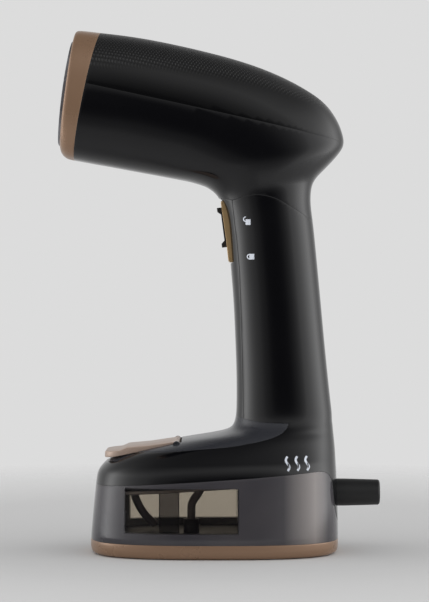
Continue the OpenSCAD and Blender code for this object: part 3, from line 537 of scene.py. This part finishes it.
def dotted(name, dark, light, rough):
    """Gloss black whose top panel is covered with fine raised dots above a soft line."""
    mat, tree, bsdf = shader(name)
    link(tree, blended(tree, noise(tree, 14.0), dark, light), bsdf.inputs["Base Color"])
    place = add(tree, "ShaderNodeTexCoord")
    axes = add(tree, "ShaderNodeSeparateXYZ")
    link(tree, place.outputs["Object"], axes.inputs["Vector"])

    # rows of dots: x runs along the panel, y across it
    pitch = 0.0017
    turns = 2 * math.pi / pitch
    wave_x = maths(tree, "SINE", maths(tree, "MULTIPLY", axes.outputs["X"], turns))
    wave_y = maths(tree, "SINE", maths(tree, "MULTIPLY", axes.outputs["Y"], turns))
    dots = maths(tree, "MAXIMUM", maths(tree, "MULTIPLY", wave_x, wave_y), 0.0)
    # the panel's edge falls towards the rear, as the crown does
    fall = maths(tree, "ADD", maths(tree, "MULTIPLY", axes.outputs["X"], -0.17), 0.252)
    bow = maths(tree, "MULTIPLY", maths(tree, "MULTIPLY", axes.outputs["X"], axes.outputs["X"]), 1.6)
    over = maths(tree, "ADD", maths(tree, "SUBTRACT", axes.outputs["Z"], fall), bow)
    mask = ranged(tree, over, 0.0, 1.0, 0.0, 0.005)
    bumped(tree, bsdf, maths(tree, "MULTIPLY", dots, mask), 0.00022, 0.9)
    link(tree, ranged(tree, mask, rough, rough + 0.25, 0.0, 1.0), bsdf.inputs["Roughness"])
    return mat


def maths(tree, operation, a, b=0.0):
    node = add(tree, "ShaderNodeMath", operation=operation)
    for socket, value in zip(node.inputs, (a, b)):
        if isinstance(value, (int, float)):
            socket.default_value = value
        else:
            link(tree, value, socket)
    return node.outputs[0]


def window(tree, x0, x1, z0, z1, soft=0.0005):
    """One inside a rectangle in side view and nought outside it, with soft sides."""
    place = add(tree, "ShaderNodeTexCoord")
    axes = add(tree, "ShaderNodeSeparateXYZ")
    link(tree, place.outputs["Object"], axes.inputs["Vector"])
    sides = [ranged(tree, axes.outputs["X"], 0, 1, x0 - soft, x0 + soft),
             ranged(tree, axes.outputs["X"], 1, 0, x1 - soft, x1 + soft),
             ranged(tree, axes.outputs["Z"], 0, 1, z0 - soft, z0 + soft),
             ranged(tree, axes.outputs["Z"], 1, 0, z1 - soft, z1 + soft)]
    mask = sides[0]
    for value in sides[1:]:
        mask = maths(tree, "MULTIPLY", mask, value)
    return mask


def smoked(name, tint, body, pale_tone_and_highlight, opacity, rough=0.08, clear_part=None, thick=0.85):
    """Tinted see-through plastic: light passes through it and its faces stay glossy. It is nearly
    opaque outside its clear part, where ribs and thicker walls stand behind it."""
    mat, tree, bsdf = shader(name)
    pale = noise(tree, 20.0)
    if clear_part:
        # painted highlight: a paler band along x near the rear corner of the tank wall, where the side light falls on
        # the curved wall
        place = add(tree, "ShaderNodeTexCoord")
        axes = add(tree, "ShaderNodeSeparateXYZ")
        link(tree, place.outputs["Object"], axes.inputs["Vector"])
        painted_highlight_rise = ranged(tree, axes.outputs["X"], 0, 3.2, 0.036 * KX, 0.0525 * KX)
        fall = ranged(tree, axes.outputs["X"], 1, 0, 0.053 * KX, 0.060 * KX)
        pale = maths(tree, "ADD", pale, maths(tree, "MULTIPLY", painted_highlight_rise, fall))
    # the base colour drifts at random, and with a clear part it also carries the painted highlight band
    link(tree, blended(tree, ranged(tree, pale, 0, 1, 0, 4), body, pale_tone_and_highlight), bsdf.inputs["Base Color"])
    link(tree, ranged(tree, noise(tree, 60.0), rough, rough + 0.05), bsdf.inputs["Roughness"])
    bumped(tree, bsdf, noise(tree, 500.0, 2.0), 0.000003)
    clear = add(tree, "ShaderNodeBsdfTransparent")
    clear.inputs["Color"].default_value = (*tint, 1)
    edge = add(tree, "ShaderNodeFresnel", IOR=1.45)
    cover = opacity
    if clear_part:
        cover = ranged(tree, window(tree, *clear_part), thick, opacity, 0, 1)
    share = maths(tree, "MINIMUM", maths(tree, "ADD", edge.outputs["Fac"], cover), 1.0)
    mix = add(tree, "ShaderNodeMixShader")
    link(tree, share, mix.inputs["Fac"])
    link(tree, clear.outputs[0], mix.inputs[1])
    link(tree, bsdf.outputs[0], mix.inputs[2])
    link(tree, mix.outputs[0], tree.nodes["Material Output"].inputs["Surface"])
    return mat


def brushed(name, dark, light, rough, stretch=(40, 1, 1)):
    """Metal with fine lines along one direction."""
    mat, tree, bsdf = shader(name)
    bsdf.inputs["Metallic"].default_value = 1.0
    lines = noise(tree, 60.0, 6.0, stretch)
    link(tree, blended(tree, lines, dark, light), bsdf.inputs["Base Color"])
    link(tree, ranged(tree, lines, rough, rough + 0.15), bsdf.inputs["Roughness"])
    bumped(tree, bsdf, lines, 0.00001)
    return mat


GLOSS_BLACK = plastic("gloss_black", (0.0012, 0.0012, 0.0022), (0.002, 0.002, 0.003), 0.1)
HEAD_BLACK = dotted("head_black", (0.0015, 0.0015, 0.002), (0.0025, 0.0025, 0.003), 0.1)
ROSE_GOLD = plastic("rose_gold", (0.265, 0.16, 0.098), (0.29, 0.178, 0.112), 0.26, 1500.0, 0.00001,
                    0.08, 0.25)
CAP_GOLD = plastic("cap_gold", (0.44, 0.33, 0.27), (0.49, 0.37, 0.30), 0.3, 1500.0, 0.00001, 0.08, 0.2)
GOLD = plastic("gold", (0.46, 0.31, 0.15), (0.50, 0.34, 0.17), 0.3, 1500.0, 0.00001, 0.08, 0.4)
CLEAR_PART = (-0.047 * KX, 0.0125 * KX, 0.0135 * KZ, 0.0368 * KZ)
# the pale colour here is mostly the painted highlight near the tank's rear corner, and a little random tone
TANK = smoked("smoky_tank", (0.88, 0.85, 0.80), (0.028, 0.028, 0.038), (0.30, 0.27, 0.26), 0.05, 0.08,
              CLEAR_PART)
INSERT = smoked("smoky_insert", (0.7, 0.69, 0.7), (0.03, 0.03, 0.036), (0.08, 0.08, 0.09), 0.35)
DECK = smoked("smoky_deck", (0.60, 0.60, 0.62), (0.045, 0.047, 0.056), (0.08, 0.083, 0.095), 0.7, 0.16)
MATTE_BLACK = plastic("matte_black", (0.006, 0.006, 0.0065), (0.009, 0.009, 0.0095), 0.42, 1800.0,
                      0.00002, 0.12)
RUBBER = plastic("rubber", (0.012, 0.012, 0.012), (0.02, 0.02, 0.02), 0.7, 2500.0, 0.00003, 0.1)
SILICONE = plastic("silicone", (0.30, 0.27, 0.28), (0.36, 0.33, 0.34), 0.4, 700.0, 0.00001, 0.1)
STEEL = brushed("steel", (0.42, 0.42, 0.43), (0.58, 0.58, 0.59), 0.25)
ALUMINIUM = brushed("aluminium", (0.5, 0.5, 0.5), (0.66, 0.66, 0.66), 0.4, (6, 6, 6))
PLATE_METAL = brushed("plate_metal", (0.24, 0.24, 0.26), (0.33, 0.33, 0.35), 0.3, (1, 40, 1))
BOARD = plastic("board_green", (0.01, 0.07, 0.03), (0.015, 0.1, 0.045), 0.45)
PRINT = plastic("print_white", (0.68, 0.72, 0.8), (0.74, 0.78, 0.86), 0.55, 3000.0, 0.000004)
CERAMIC = plastic("ceramic", (0.62, 0.6, 0.56), (0.7, 0.68, 0.64), 0.5, 2000.0, 0.00001)


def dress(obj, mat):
    obj.data.materials.clear()
    obj.data.materials.append(mat)
    return obj


def piece(obj, mat, slot, body, *stands_for):
    """Finishes a new piece: its material, the body it rides on and the nodes it stands for."""
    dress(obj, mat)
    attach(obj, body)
    if stands_for:
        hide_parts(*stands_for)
    return obj


# ---- casing ----
def base_cover():
    """Satin cover under the tank, with a recess for the foot pad."""
    rows = [r for r in ROWS[:3 * PER_SPAN + 1] if r[1] > base_lo.z + 0.5]
    rings = [ring_of(r) for r in rows]
    top = rings[-1].copy()
    top[:, 2] = base_hi.z - GAP
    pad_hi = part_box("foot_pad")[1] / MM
    foot = rings[0] * (0.985, 0.985, 1)
    foot[:, 2] = base_lo.z
    recess = [level_ring(pad_hi.x + 0.15, pad_hi.y + 0.15, z, 4) for z in (base_lo.z, pad_hi.z + 0.1)]
    shell = loft([recess[1], recess[0], foot, *rings[:-1], top], cap_first=True)
    obj = make("base_cover_shell", thicken(shell, 1.5))
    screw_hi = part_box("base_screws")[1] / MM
    head_r = 3.2
    x, y = screw_hi.x - 3, screw_hi.y - 3
    cut_with(obj, "DIFFERENCE",
             *[drum(sx * x, sy * y, -1, head_r, head_r, 5) for sx in (-1, 1) for sy in (-1, 1)])
    return piece(obj, ROSE_GOLD, "rose_gold", "root", "base_cover")


def water_tank():
    """Smoked wall of the tank, in one piece all round."""
    first = ring_of(next(r for r in ROWS if r[1] > tank_lo.z + 0.5))
    first[:, 2] = tank_lo.z + 0.5
    foot = first * (0.996, 0.996, 1)
    foot[:, 2] = tank_lo.z
    rows = [r for r in ROWS[:9 * PER_SPAN + 1] if r[1] > tank_lo.z + 1.2]
    surface = loft([foot, first, *[ring_of(r) for r in rows]])
    surface = weld(clip(surface, negative(above_tank), GAP))
    piece(make("water_tank_shell", thicken(surface, WALL)), TANK, "smoky_tank", "root", "water_tank")


def tank_baffles():
    """Bulkhead and column that stand inside the tank."""
    thick, column_x = 2, -24.5 * KX
    bulkhead = make("tank_bulkhead", prism([(baffle_hi.x - thick, baffle_lo.z), (baffle_hi.x, baffle_lo.z),
                                            (baffle_hi.x, baffle_hi.z), (baffle_hi.x - thick, baffle_hi.z)], -60, 60))
    cut_with(bulkhead, "INTERSECT", form(3, 8, WALL + 0.2, True))
    piece(bulkhead, INSERT, "smoky_tank", "root", "tank_baffles")
    column = make("tank_column", loft([level_ring(5.5, 3, z, 4) + (column_x, 0, 0)
                                       for z in (baffle_lo.z, baffle_lo.z + 8, baffle_hi.z - 2.5)], True, True))
    piece(bevelled(column, 0.4), INSERT, "smoky_tank", "root")


CAP_GAP, BED = 0.4, 2.0


def cap_room(drop, half):
    """Space over a line that runs the given distance under the filler cap, with its hinge."""
    hinge_x, hinge_z = (pin_lo.x + pin_hi.x) / 2, (pin_lo.z + pin_hi.z) / 2
    line = [(x, z - drop) for x, z in placed([(-90, 46.9), *CAP_UNDER]) if x < hinge_x - 2.3]
    line += [(hinge_x + (1.85 + drop) * math.cos(a), hinge_z + (1.85 + drop) * math.sin(a))
             for a in np.radians([-160, -135, -110, -85, -60])]
    return prism(line + [(hinge_x + 2.6, hinge_z - 1.6), (hinge_x + 2.6, 120), (-90, 120)], -half, half)


def tank_deck():
    """Smoked deck in front of the grip, with the recess, bed and ears of the filler cap."""
    surface = weld(clip(clip(form(5, 18), above_deck, GAP), negative(above_foot), GAP))
    deck = make("tank_deck_shell", thicken(surface, WALL, 0.6))
    under = placed([(-90, 46.9), *CAP_UNDER, (-15, 58.5)])
    hinge_x, hinge_z = (pin_lo.x + pin_hi.x) / 2, (pin_lo.z + pin_hi.z) / 2
    profile = [(x, z - CAP_GAP) for x, z in under] + [(x, z - CAP_GAP - BED) for x, z in under[::-1]]
    block = make("bed", prism(profile, -CAP_W / 2 - 2, CAP_W / 2 + 2))
    cut_with(block, "INTERSECT", form(5, 18, 0.35, True))
    half = CAP_W / 2 + CAP_GAP
    neck = (seal_lo.x + seal_hi.x) / 2
    boss = (seal_hi.x - seal_lo.x) / 2 + 1
    for obj in (deck, block):
        cut_with(obj, "DIFFERENCE", cap_room(CAP_GAP, half), drum(neck, 0, 0, boss, boss, 100))
    piece(deck, DECK, "smoky_deck", "root", "tank_deck")
    piece(block, DECK, "smoky_deck", "root")
    block.name = "filler_bed"
    for side in (-1, 1):
        y0 = side * (half + 1.2) - 1.2
        ear = make("cap_ear_" + ("near" if side < 0 else "far"), drum(hinge_x, y0, hinge_z, 1.9, 1.9, 2.4, "y"))
        post = prism([(hinge_x - 1.9, hinge_z - 6), (hinge_x + 1.9, hinge_z - 6), (hinge_x + 1.9, hinge_z),
                      (hinge_x - 1.9, hinge_z)], y0, y0 + 2.4)
        cut_with(ear, "UNION", post)
        cut_with(ear, "DIFFERENCE",
                 drum(hinge_x, pin_lo.y - 0.02, hinge_z, 1.15, 1.15, pin_hi.y - pin_lo.y + 0.04, "y"))
        piece(ear, DECK, "smoky_deck", "root")
    return deck


def grip_shell():
    """Black grip and skirt in one moulding."""
    whole = clip(form(3, 27), above_tank, GAP)
    upper = clip(clip(clip(whole, negative(above_neck), GAP), above_foot, GAP), behind_strip, GAP)
    lower = clip(clip(whole, negative(above_foot), -GAP), negative(above_deck), GAP)
    surface = weld(join(upper, lower))
    obj = make("grip_casing", thicken(surface, WALL))
    guard_z = (guard_lo.z + guard_hi.z) / 2
    r = 7.3 + 0.25
    neck, boss = (seal_lo.x + seal_hi.x) / 2, (seal_hi.x - seal_lo.x) / 2 + 1
    cut_with(obj, "DIFFERENCE", drum(50 * KX, 0, guard_z, r, r, 60, "x"),
             cap_room(CAP_GAP + BED + GAP, CAP_W / 2 + 2.2), drum(neck, 0, 0, boss, boss, 100))
    return piece(obj, GLOSS_BLACK, "gloss_black", "root", "grip_shell")


def grip_front_strip():
    """Strip down the front of the grip, with the slot for the trigger."""
    ahead = negative(behind_strip)
    whole = clip(clip(clip(form(12, 27), ahead, GAP), negative(above_neck), GAP), above_foot, GAP)
    slot_z, slot_y = 154.6 * KZ, (trigger_hi.y - trigger_lo.y) / 2 + 0.4
    low = clip(whole, lambda v: slot_z - v[:, 2])
    high = clip(whole, lambda v: v[:, 2] - slot_z)
    near = clip(high, lambda v: -v[:, 1] - slot_y)
    far_side = clip(high, lambda v: v[:, 1] - slot_y)
    obj = make("grip_front", thicken(weld(join(low, near, far_side)), WALL))
    return piece(obj, GLOSS_BLACK, "gloss_black", "root", "grip_front_strip")


def head_shells():
    """Upper and lower halves of the head."""
    barrel = clip(form(19, 40), behind_joint, GAP)
    upper = make("head_top", thicken(weld(clip(barrel, above_head, GAP)), WALL))
    piece(upper, HEAD_BLACK, "head_black", "root", "head_upper_shell")
    lower = clip(clip(barrel, negative(above_head), GAP), above_neck, GAP)
    lower = make("head_bottom", thicken(weld(lower), WALL))
    piece(lower, GLOSS_BLACK, "gloss_black", "root", "head_lower_shell")


def face_frame():
    """Middle of the steam face, the direction up it and the direction out of it."""
    top, bottom = station_points(len(STATIONS) - 1)
    up = (top - bottom) / np.linalg.norm(top - bottom)
    mid = (top + bottom) / 2 - PLATE_DROP * up
    return (np.array([mid[0], 0, mid[1]]), np.array([up[0], 0, up[1]]), np.array([-up[1], 0, up[0]]))


def face_bezel():
    """Rose gold ring round the steam plate."""
    mid, up, out = face_frame()
    rows = ROWS[(JOINT_STATION - 3) * PER_SPAN:]
    rings = [ring_of(r) for r in rows]
    last = rings[-1]
    plate_h, plate_w = 56.8, 46.8

    def opening(grow, depth):
        u = (plate_h / 2 + grow) * signed_power(np.cos(TURN), 2 / 3)
        v = (plate_w / 2 + grow) * signed_power(np.sin(TURN), 2 / 3)
        return mid - depth * out + u[:, None] * up + v[:, None] * np.array([0, 1, 0])

    centre = last.mean(0)
    face = [centre + (last - centre) * 0.985 - out * 0.02]
    lip = [opening(0.35, 0.05), opening(0.1, 0.15), opening(0, 0.4), opening(0, 4)]
    surface = loft([*rings, *face, *lip])
    surface = weld(clip(surface, negative(behind_joint), GAP))
    obj = make("steam_face_bezel", thicken(surface, 1.3))
    return piece(obj, ROSE_GOLD, "rose_gold", "root", "face_bezel")


# ---- filler cap ----
def filler_cap():
    """Hinged cap: a low wedge with a thumb lip, a boss for the seal and a barrel for the pin."""
    hinge_x, hinge_z = (pin_lo.x + pin_hi.x) / 2, (pin_lo.z + pin_hi.z) / 2
    outline = placed(CAP_TOP + CAP_UNDER[::-1])
    cap = make("filler_lid", prism(outline, -CAP_W / 2, CAP_W / 2))
    front, corner = cap_lo.x, 9.0
    plan = [(front + corner - corner * math.cos(a), sign * (CAP_W / 2 - corner + corner * math.sin(a)))
            for sign, turns in ((-1, np.linspace(math.pi / 2, 0, 10)), (1, np.linspace(0, math.pi / 2, 10)))
            for a in turns]
    plan += [(0, CAP_W / 2 + 1), (0, -CAP_W / 2 - 1)]
    n = len(plan)
    block = np.array([(x, y, z) for z in (0, 90) for x, y in plan])
    sides = [(k, (k + 1) % n, n + (k + 1) % n, n + k) for k in range(n)]
    cut_with(cap, "INTERSECT", (block, sides + [tuple(range(n - 1, -1, -1)), tuple(range(n, 2 * n))]))
    bevelled(cap, 0.45, 3, 25)
    neck, boss = (seal_lo.x + seal_hi.x) / 2, (seal_hi.x - seal_lo.x) / 2
    top = 55.5 * KZ
    cut_with(cap, "UNION", drum(neck, 0, seal_hi.z, boss, boss, top - seal_hi.z),
             drum(hinge_x, -CAP_W / 2, hinge_z, 1.8, 1.8, CAP_W, "y"))
    cut_with(cap, "DIFFERENCE", drum(hinge_x, -CAP_W, hinge_z, 1.16, 1.16, 2 * CAP_W, "y"))
    return piece(cap, CAP_GOLD, "rose_gold", "cap", "filler_cap")


# ---- prints ----
def surface_tree():
    """The outer form as a tree to cast onto."""
    bm = to_bmesh(form(0, 41))
    tree = BVHTree.FromBMesh(bm)
    bm.free()
    return tree


def printed(name, outlines, slot_name, mat, *stands_for):
    """Flat shapes in side view, laid on the near side of the casing as a thin print."""
    tree = surface_tree()
    points, faces = [], []
    for outline in outlines:
        n = len(outline)
        start = len(points)
        for lift in (0.02, 0.1):
            for x, z in outline:
                hit, _, _, _ = tree.ray_cast(Vector((x * KX, -200, z * KZ)), Vector((0, 1, 0)))
                points.append((x * KX, hit.y - lift, z * KZ))
        faces += [(start + k, start + (k + 1) % n, start + n + (k + 1) % n, start + n + k) for k in range(n)]
        faces += [tuple(start + k for k in range(n)), tuple(start + n + k for k in range(n - 1, -1, -1))]
    obj = make(name, (np.array(points), faces), 80)
    return piece(obj, mat, slot_name, "root", *stands_for)


def band(centre, width):
    """Outline of a strip of even width along a list of points."""
    p = np.array(centre, float)
    run = np.gradient(p, axis=0)
    run /= np.linalg.norm(run, axis=1)[:, None]
    side = np.stack([-run[:, 1], run[:, 0]], 1) * width / 2
    return [tuple(q) for q in p + side] + [tuple(q) for q in (p - side)[::-1]]


def padlock(x, z, is_open):
    """Lying padlock: body to the rear, shackle to the front."""
    turn = np.linspace(math.pi / 2, 3 * math.pi / 2, 12)
    lift = 1.6 if is_open else 0.0
    shackle = [(x + 0.3 + 1.2 * math.cos(a), z + lift + 1.2 * math.sin(a)) for a in turn]
    body = [(x + 0.2, z - 1.5), (x + 2.8, z - 1.5), (x + 2.8, z + 1.5), (x + 0.2, z + 1.5)]
    return [body, band(shackle, 0.6)]


def steam_mark(x, z, width, height, strokes=3):
    """Three rising waves, the common sign for steam."""
    made = []
    for k in range(strokes):
        t = np.linspace(0, 1, 16)
        middle = x + width * (k + 0.5) / strokes
        made.append(band([(middle + 0.9 * math.sin(2 * math.pi * s), z + height * s) for s in t], 1.15))
    return made


# ---- hoses inside ----
def hoses():
    pump_x = (pump_lo.x + pump_hi.x) / 2
    foot_x = (foot_lo.x + foot_hi.x) / 2
    r = 2.2
    pickup = [(foot_x, 0, 14 * KZ), (foot_x, 0, 20 * KZ), (-12 * KX, 0, 26 * KZ), (-8 * KX, 0, 32 * KZ),
              (-6 * KX, 0, 38 * KZ), (-6 * KX, 0, 44 * KZ)]
    piece(make("pickup_tube", tube(pickup, r)), SILICONE, "silicone", "root", "pickup_hose")
    valve_x, valve_y = (valve_lo.x + valve_hi.x) / 2, (valve_lo.y + valve_hi.y) / 2
    vent = [(valve_x, valve_y, 40 * KZ), (valve_x, valve_y, 30 * KZ), (-41.5 * KX, valve_y, 23 * KZ),
            (-37.5 * KX, valve_y, 17 * KZ), (-32.4 * KX, valve_y, 12.4 * KZ)]
    piece(make("vent_tube", tube(vent, r)), SILICONE, "silicone", "root", "vent_hose")
    suction = [(-6 * KX, 0, 44.1 * KZ), (-6 * KX, 0, 47 * KZ), (-4 * KX, 0, 51 * KZ), (4 * KX, 0, 54 * KZ),
               (18 * KX, 0, 57.5 * KZ), (30 * KX, 0, 63 * KZ), (pump_x, 0, 72 * KZ), (pump_x, 0, pump_lo.z + 4)]
    piece(make("suction_tube", tube(suction, r)), SILICONE, "silicone", "root", "suction_hose")


base_cover()
water_tank()
tank_baffles()
tank_deck()
grip_shell()
grip_front_strip()
head_shells()
face_bezel()
filler_cap()
hoses()
printed("lock_signs", padlock(16.3, 176.3, True) + padlock(18.3, 158, False), "print_white", PRINT,
        "lock_icons")
printed("steam_sign", steam_mark(35.6, 46.0, 15.5, 7.2), "print_white", PRINT)

FINISH = {
    "foot_pad": (RUBBER, "rubber"),
    "base_screws": (STEEL, "steel"),
    "tank_floor": (MATTE_BLACK, "matte_black"),
    "tank_lid": (MATTE_BLACK, "matte_black"),
    "lid_seal": (SILICONE, "silicone"),
    "filler_seal": (SILICONE, "silicone"),
    "filler_pin": (STEEL, "steel"),
    "pickup_weight": (MATTE_BLACK, "matte_black"),
    "vent_valve": (SILICONE, "silicone"),
    "trigger": (GOLD, "gold"),
    "trigger_pin": (STEEL, "steel"),
    "trigger_spring": (STEEL, "steel"),
    "lock_slider": (MATTE_BLACK, "matte_black"),
    "microswitch": (MATTE_BLACK, "matte_black"),
    "switch_plunger": (MATTE_BLACK, "matte_black"),
    "control_board": (BOARD, "board_green"),
    "pump_body": (MATTE_BLACK, "matte_black"),
    "pump_plunger": (STEEL, "steel"),
    "pump_spring": (STEEL, "steel"),
    "pump_bracket": (MATTE_BLACK, "matte_black"),
    "delivery_hose": (SILICONE, "silicone"),
    "steam_plate": (PLATE_METAL, "plate_metal"),
    "plate_gasket": (SILICONE, "silicone"),
    "steam_chamber": (ALUMINIUM, "aluminium"),
    "chamber_cover": (ALUMINIUM, "aluminium"),
    "chamber_screws": (STEEL, "steel"),
    "heating_element": (STEEL, "steel"),
    "thermostat": (CERAMIC, "ceramic"),
    "thermal_fuse": (CERAMIC, "ceramic"),
    "cord_guard": (MATTE_BLACK, "matte_black"),
    "guard_seat": (MATTE_BLACK, "matte_black"),
    "seat_screws": (STEEL, "steel"),
}
for node_name, (mat, slot_name) in FINISH.items():
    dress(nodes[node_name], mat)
for node_name, width in (("trigger", 0.5), ("lock_slider", 0.2), ("steam_plate", 0.5), ("guard_seat", 0.5)):
    weld_modifier = nodes[node_name].modifiers.new("weld", "WELD")
    weld_modifier.merge_threshold = 0.01 * MM
    edge_modifier = nodes[node_name].modifiers.new("edge", "BEVEL")
    edge_modifier.width = width * MM
    edge_modifier.segments = 3
    edge_modifier.limit_method = "ANGLE"
    edge_modifier.angle_limit = math.radians(40)


# ---- studio ----
BACKDROP = 0.716
AMBIENT = 4.0


def ramp(tree, source, stops):
    """Brightness along a value from -1 to 1."""
    scaled = ranged(tree, source, 0.0, 1.0, -1.0, 1.0)
    node = add(tree, "ShaderNodeValToRGB")
    node.color_ramp.interpolation = "B_SPLINE"
    elements = node.color_ramp.elements
    while len(elements) > 1:
        elements.remove(elements[-1])
    for k, (at, value) in enumerate(stops):
        e = elements[0] if k == 0 else elements.new((at + 1) / 2)
        e.position = (at + 1) / 2
        c = value / AMBIENT
        e.color = (c, c, c, 1)
    link(tree, scaled, node.inputs["Fac"])
    return node.outputs["Color"]


def studio():
    """Two large soft lights to the left and right, dark towards the camera, over a plain pale floor."""
    world = bpy.data.worlds.new("studio")
    bpy.context.scene.world = world
    world.use_nodes = True
    tree = world.node_tree
    tree.nodes.clear()
    place = add(tree, "ShaderNodeTexCoord")
    axes = add(tree, "ShaderNodeSeparateXYZ")
    link(tree, place.outputs["Generated"], axes.inputs["Vector"])
    left = ramp(tree, axes.outputs["Y"], [(-1, 0.0), (-0.96, 0.15), (-0.83, 0.45), (-0.5, 1.1), (-0.2, 2.4),
                                          (0.05, 3.5), (0.25, 2.0), (0.5, 0.6), (1, 0.6)])
    right = ramp(tree, axes.outputs["Y"], [(-1, 0.0), (-0.96, 0.12), (-0.88, 0.45), (-0.78, 0.9), (-0.4, 2.2),
                                           (0.05, 3.4), (0.3, 2.0), (0.6, 0.6), (1, 0.6)])
    side = add(tree, "ShaderNodeMix", data_type="RGBA")
    colours = [s for s in side.inputs if s.type == "RGBA"]
    link(tree, ranged(tree, axes.outputs["X"], 0.0, 1.0, -0.05, 0.05), side.inputs["Factor"])
    link(tree, left, colours[0])
    link(tree, right, colours[1])
    walls = [s for s in side.outputs if s.type == "RGBA"][0]
    height = ramp(tree, axes.outputs["Z"], [(-1, 0.0), (-0.5, 4.0), (0.35, 4.0), (0.65, 0.8), (1, 0.0)])
    top = ramp(tree, axes.outputs["Z"], [(-1, 0.0), (0.2, 0.0), (0.6, 0.32), (0.85, 0.14), (1, 0.02)])
    product = add(tree, "ShaderNodeVectorMath", operation="MULTIPLY")
    link(tree, walls, product.inputs[0])
    link(tree, height, product.inputs[1])
    total = add(tree, "ShaderNodeVectorMath", operation="ADD")
    link(tree, product.outputs[0], total.inputs[0])
    link(tree, top, total.inputs[1])
    light = add(tree, "ShaderNodeBackground", Strength=AMBIENT)
    link(tree, total.outputs[0], light.inputs["Color"])
    seen = add(tree, "ShaderNodeBackground", Strength=1.0)
    seen.inputs["Color"].default_value = (BACKDROP, BACKDROP, BACKDROP, 1)
    path = add(tree, "ShaderNodeLightPath")
    mix = add(tree, "ShaderNodeMixShader")
    link(tree, path.outputs["Is Camera Ray"], mix.inputs["Fac"])
    link(tree, light.outputs[0], mix.inputs[1])
    link(tree, seen.outputs[0], mix.inputs[2])
    output = add(tree, "ShaderNodeOutputWorld")
    link(tree, mix.outputs[0], output.inputs["Surface"])

    sky = bpy.data.lights.new("overhead", "SUN")
    sky.energy = 0.42
    sky.angle = math.radians(80)
    lamp = bpy.data.objects.new("overhead", sky)
    lamp.rotation_euler = (math.radians(12), 0, 0)
    lamp.visible_glossy = False
    bpy.context.scene.collection.objects.link(lamp)

    size = 700.0
    floor = make("floor", (np.array([(-size, -size, -0.02), (size, -size, -0.02), (size, size, -0.02),
                                     (-size, size, -0.02)]), [(0, 1, 2, 3)]))
    mat, tree, bsdf = shader("pale_floor")
    bsdf.inputs["Roughness"].default_value = 1.0
    bsdf.inputs["Specular IOR Level"].default_value = 0.0
    link(tree, blended(tree, noise(tree, 3.0), (0.70, 0.70, 0.70), (0.73, 0.73, 0.73)), bsdf.inputs["Base Color"])
    # the floor fades away all round, so that it has no edge against the backdrop
    place = add(tree, "ShaderNodeTexCoord")
    offset = add(tree, "ShaderNodeVectorMath", operation="SUBTRACT")
    offset.inputs[1].default_value = (0, 0.1, 0)
    reach = add(tree, "ShaderNodeVectorMath", operation="LENGTH")
    link(tree, place.outputs["Object"], offset.inputs[0])
    link(tree, offset.outputs[0], reach.inputs[0])
    clear = add(tree, "ShaderNodeBsdfTransparent")
    fade = add(tree, "ShaderNodeMixShader")
    link(tree, ranged(tree, reach.outputs["Value"], 0.0, 1.0, 0.2, 0.5), fade.inputs["Fac"])
    link(tree, bsdf.outputs[0], fade.inputs[1])
    link(tree, clear.outputs[0], fade.inputs[2])
    link(tree, fade.outputs[0], tree.nodes["Material Output"].inputs["Surface"])
    floor.data.materials.append(mat)


def camera():
    """Level view from the near side."""
    distance, height, span = 1.1, 0.1347, 0.3251
    data = bpy.data.cameras.new("camera")
    data.sensor_width = 36
    data.lens = 36 * distance / span
    data.clip_start, data.clip_end = 0.05, 100
    obj = bpy.data.objects.new("camera", data)
    obj.location = (0, -distance, height)
    obj.rotation_euler = (math.radians(90), 0, 0)
    bpy.context.scene.collection.objects.link(obj)
    bpy.context.scene.camera = obj


studio()
camera()
bpy.context.scene.view_settings.view_transform = "Standard"
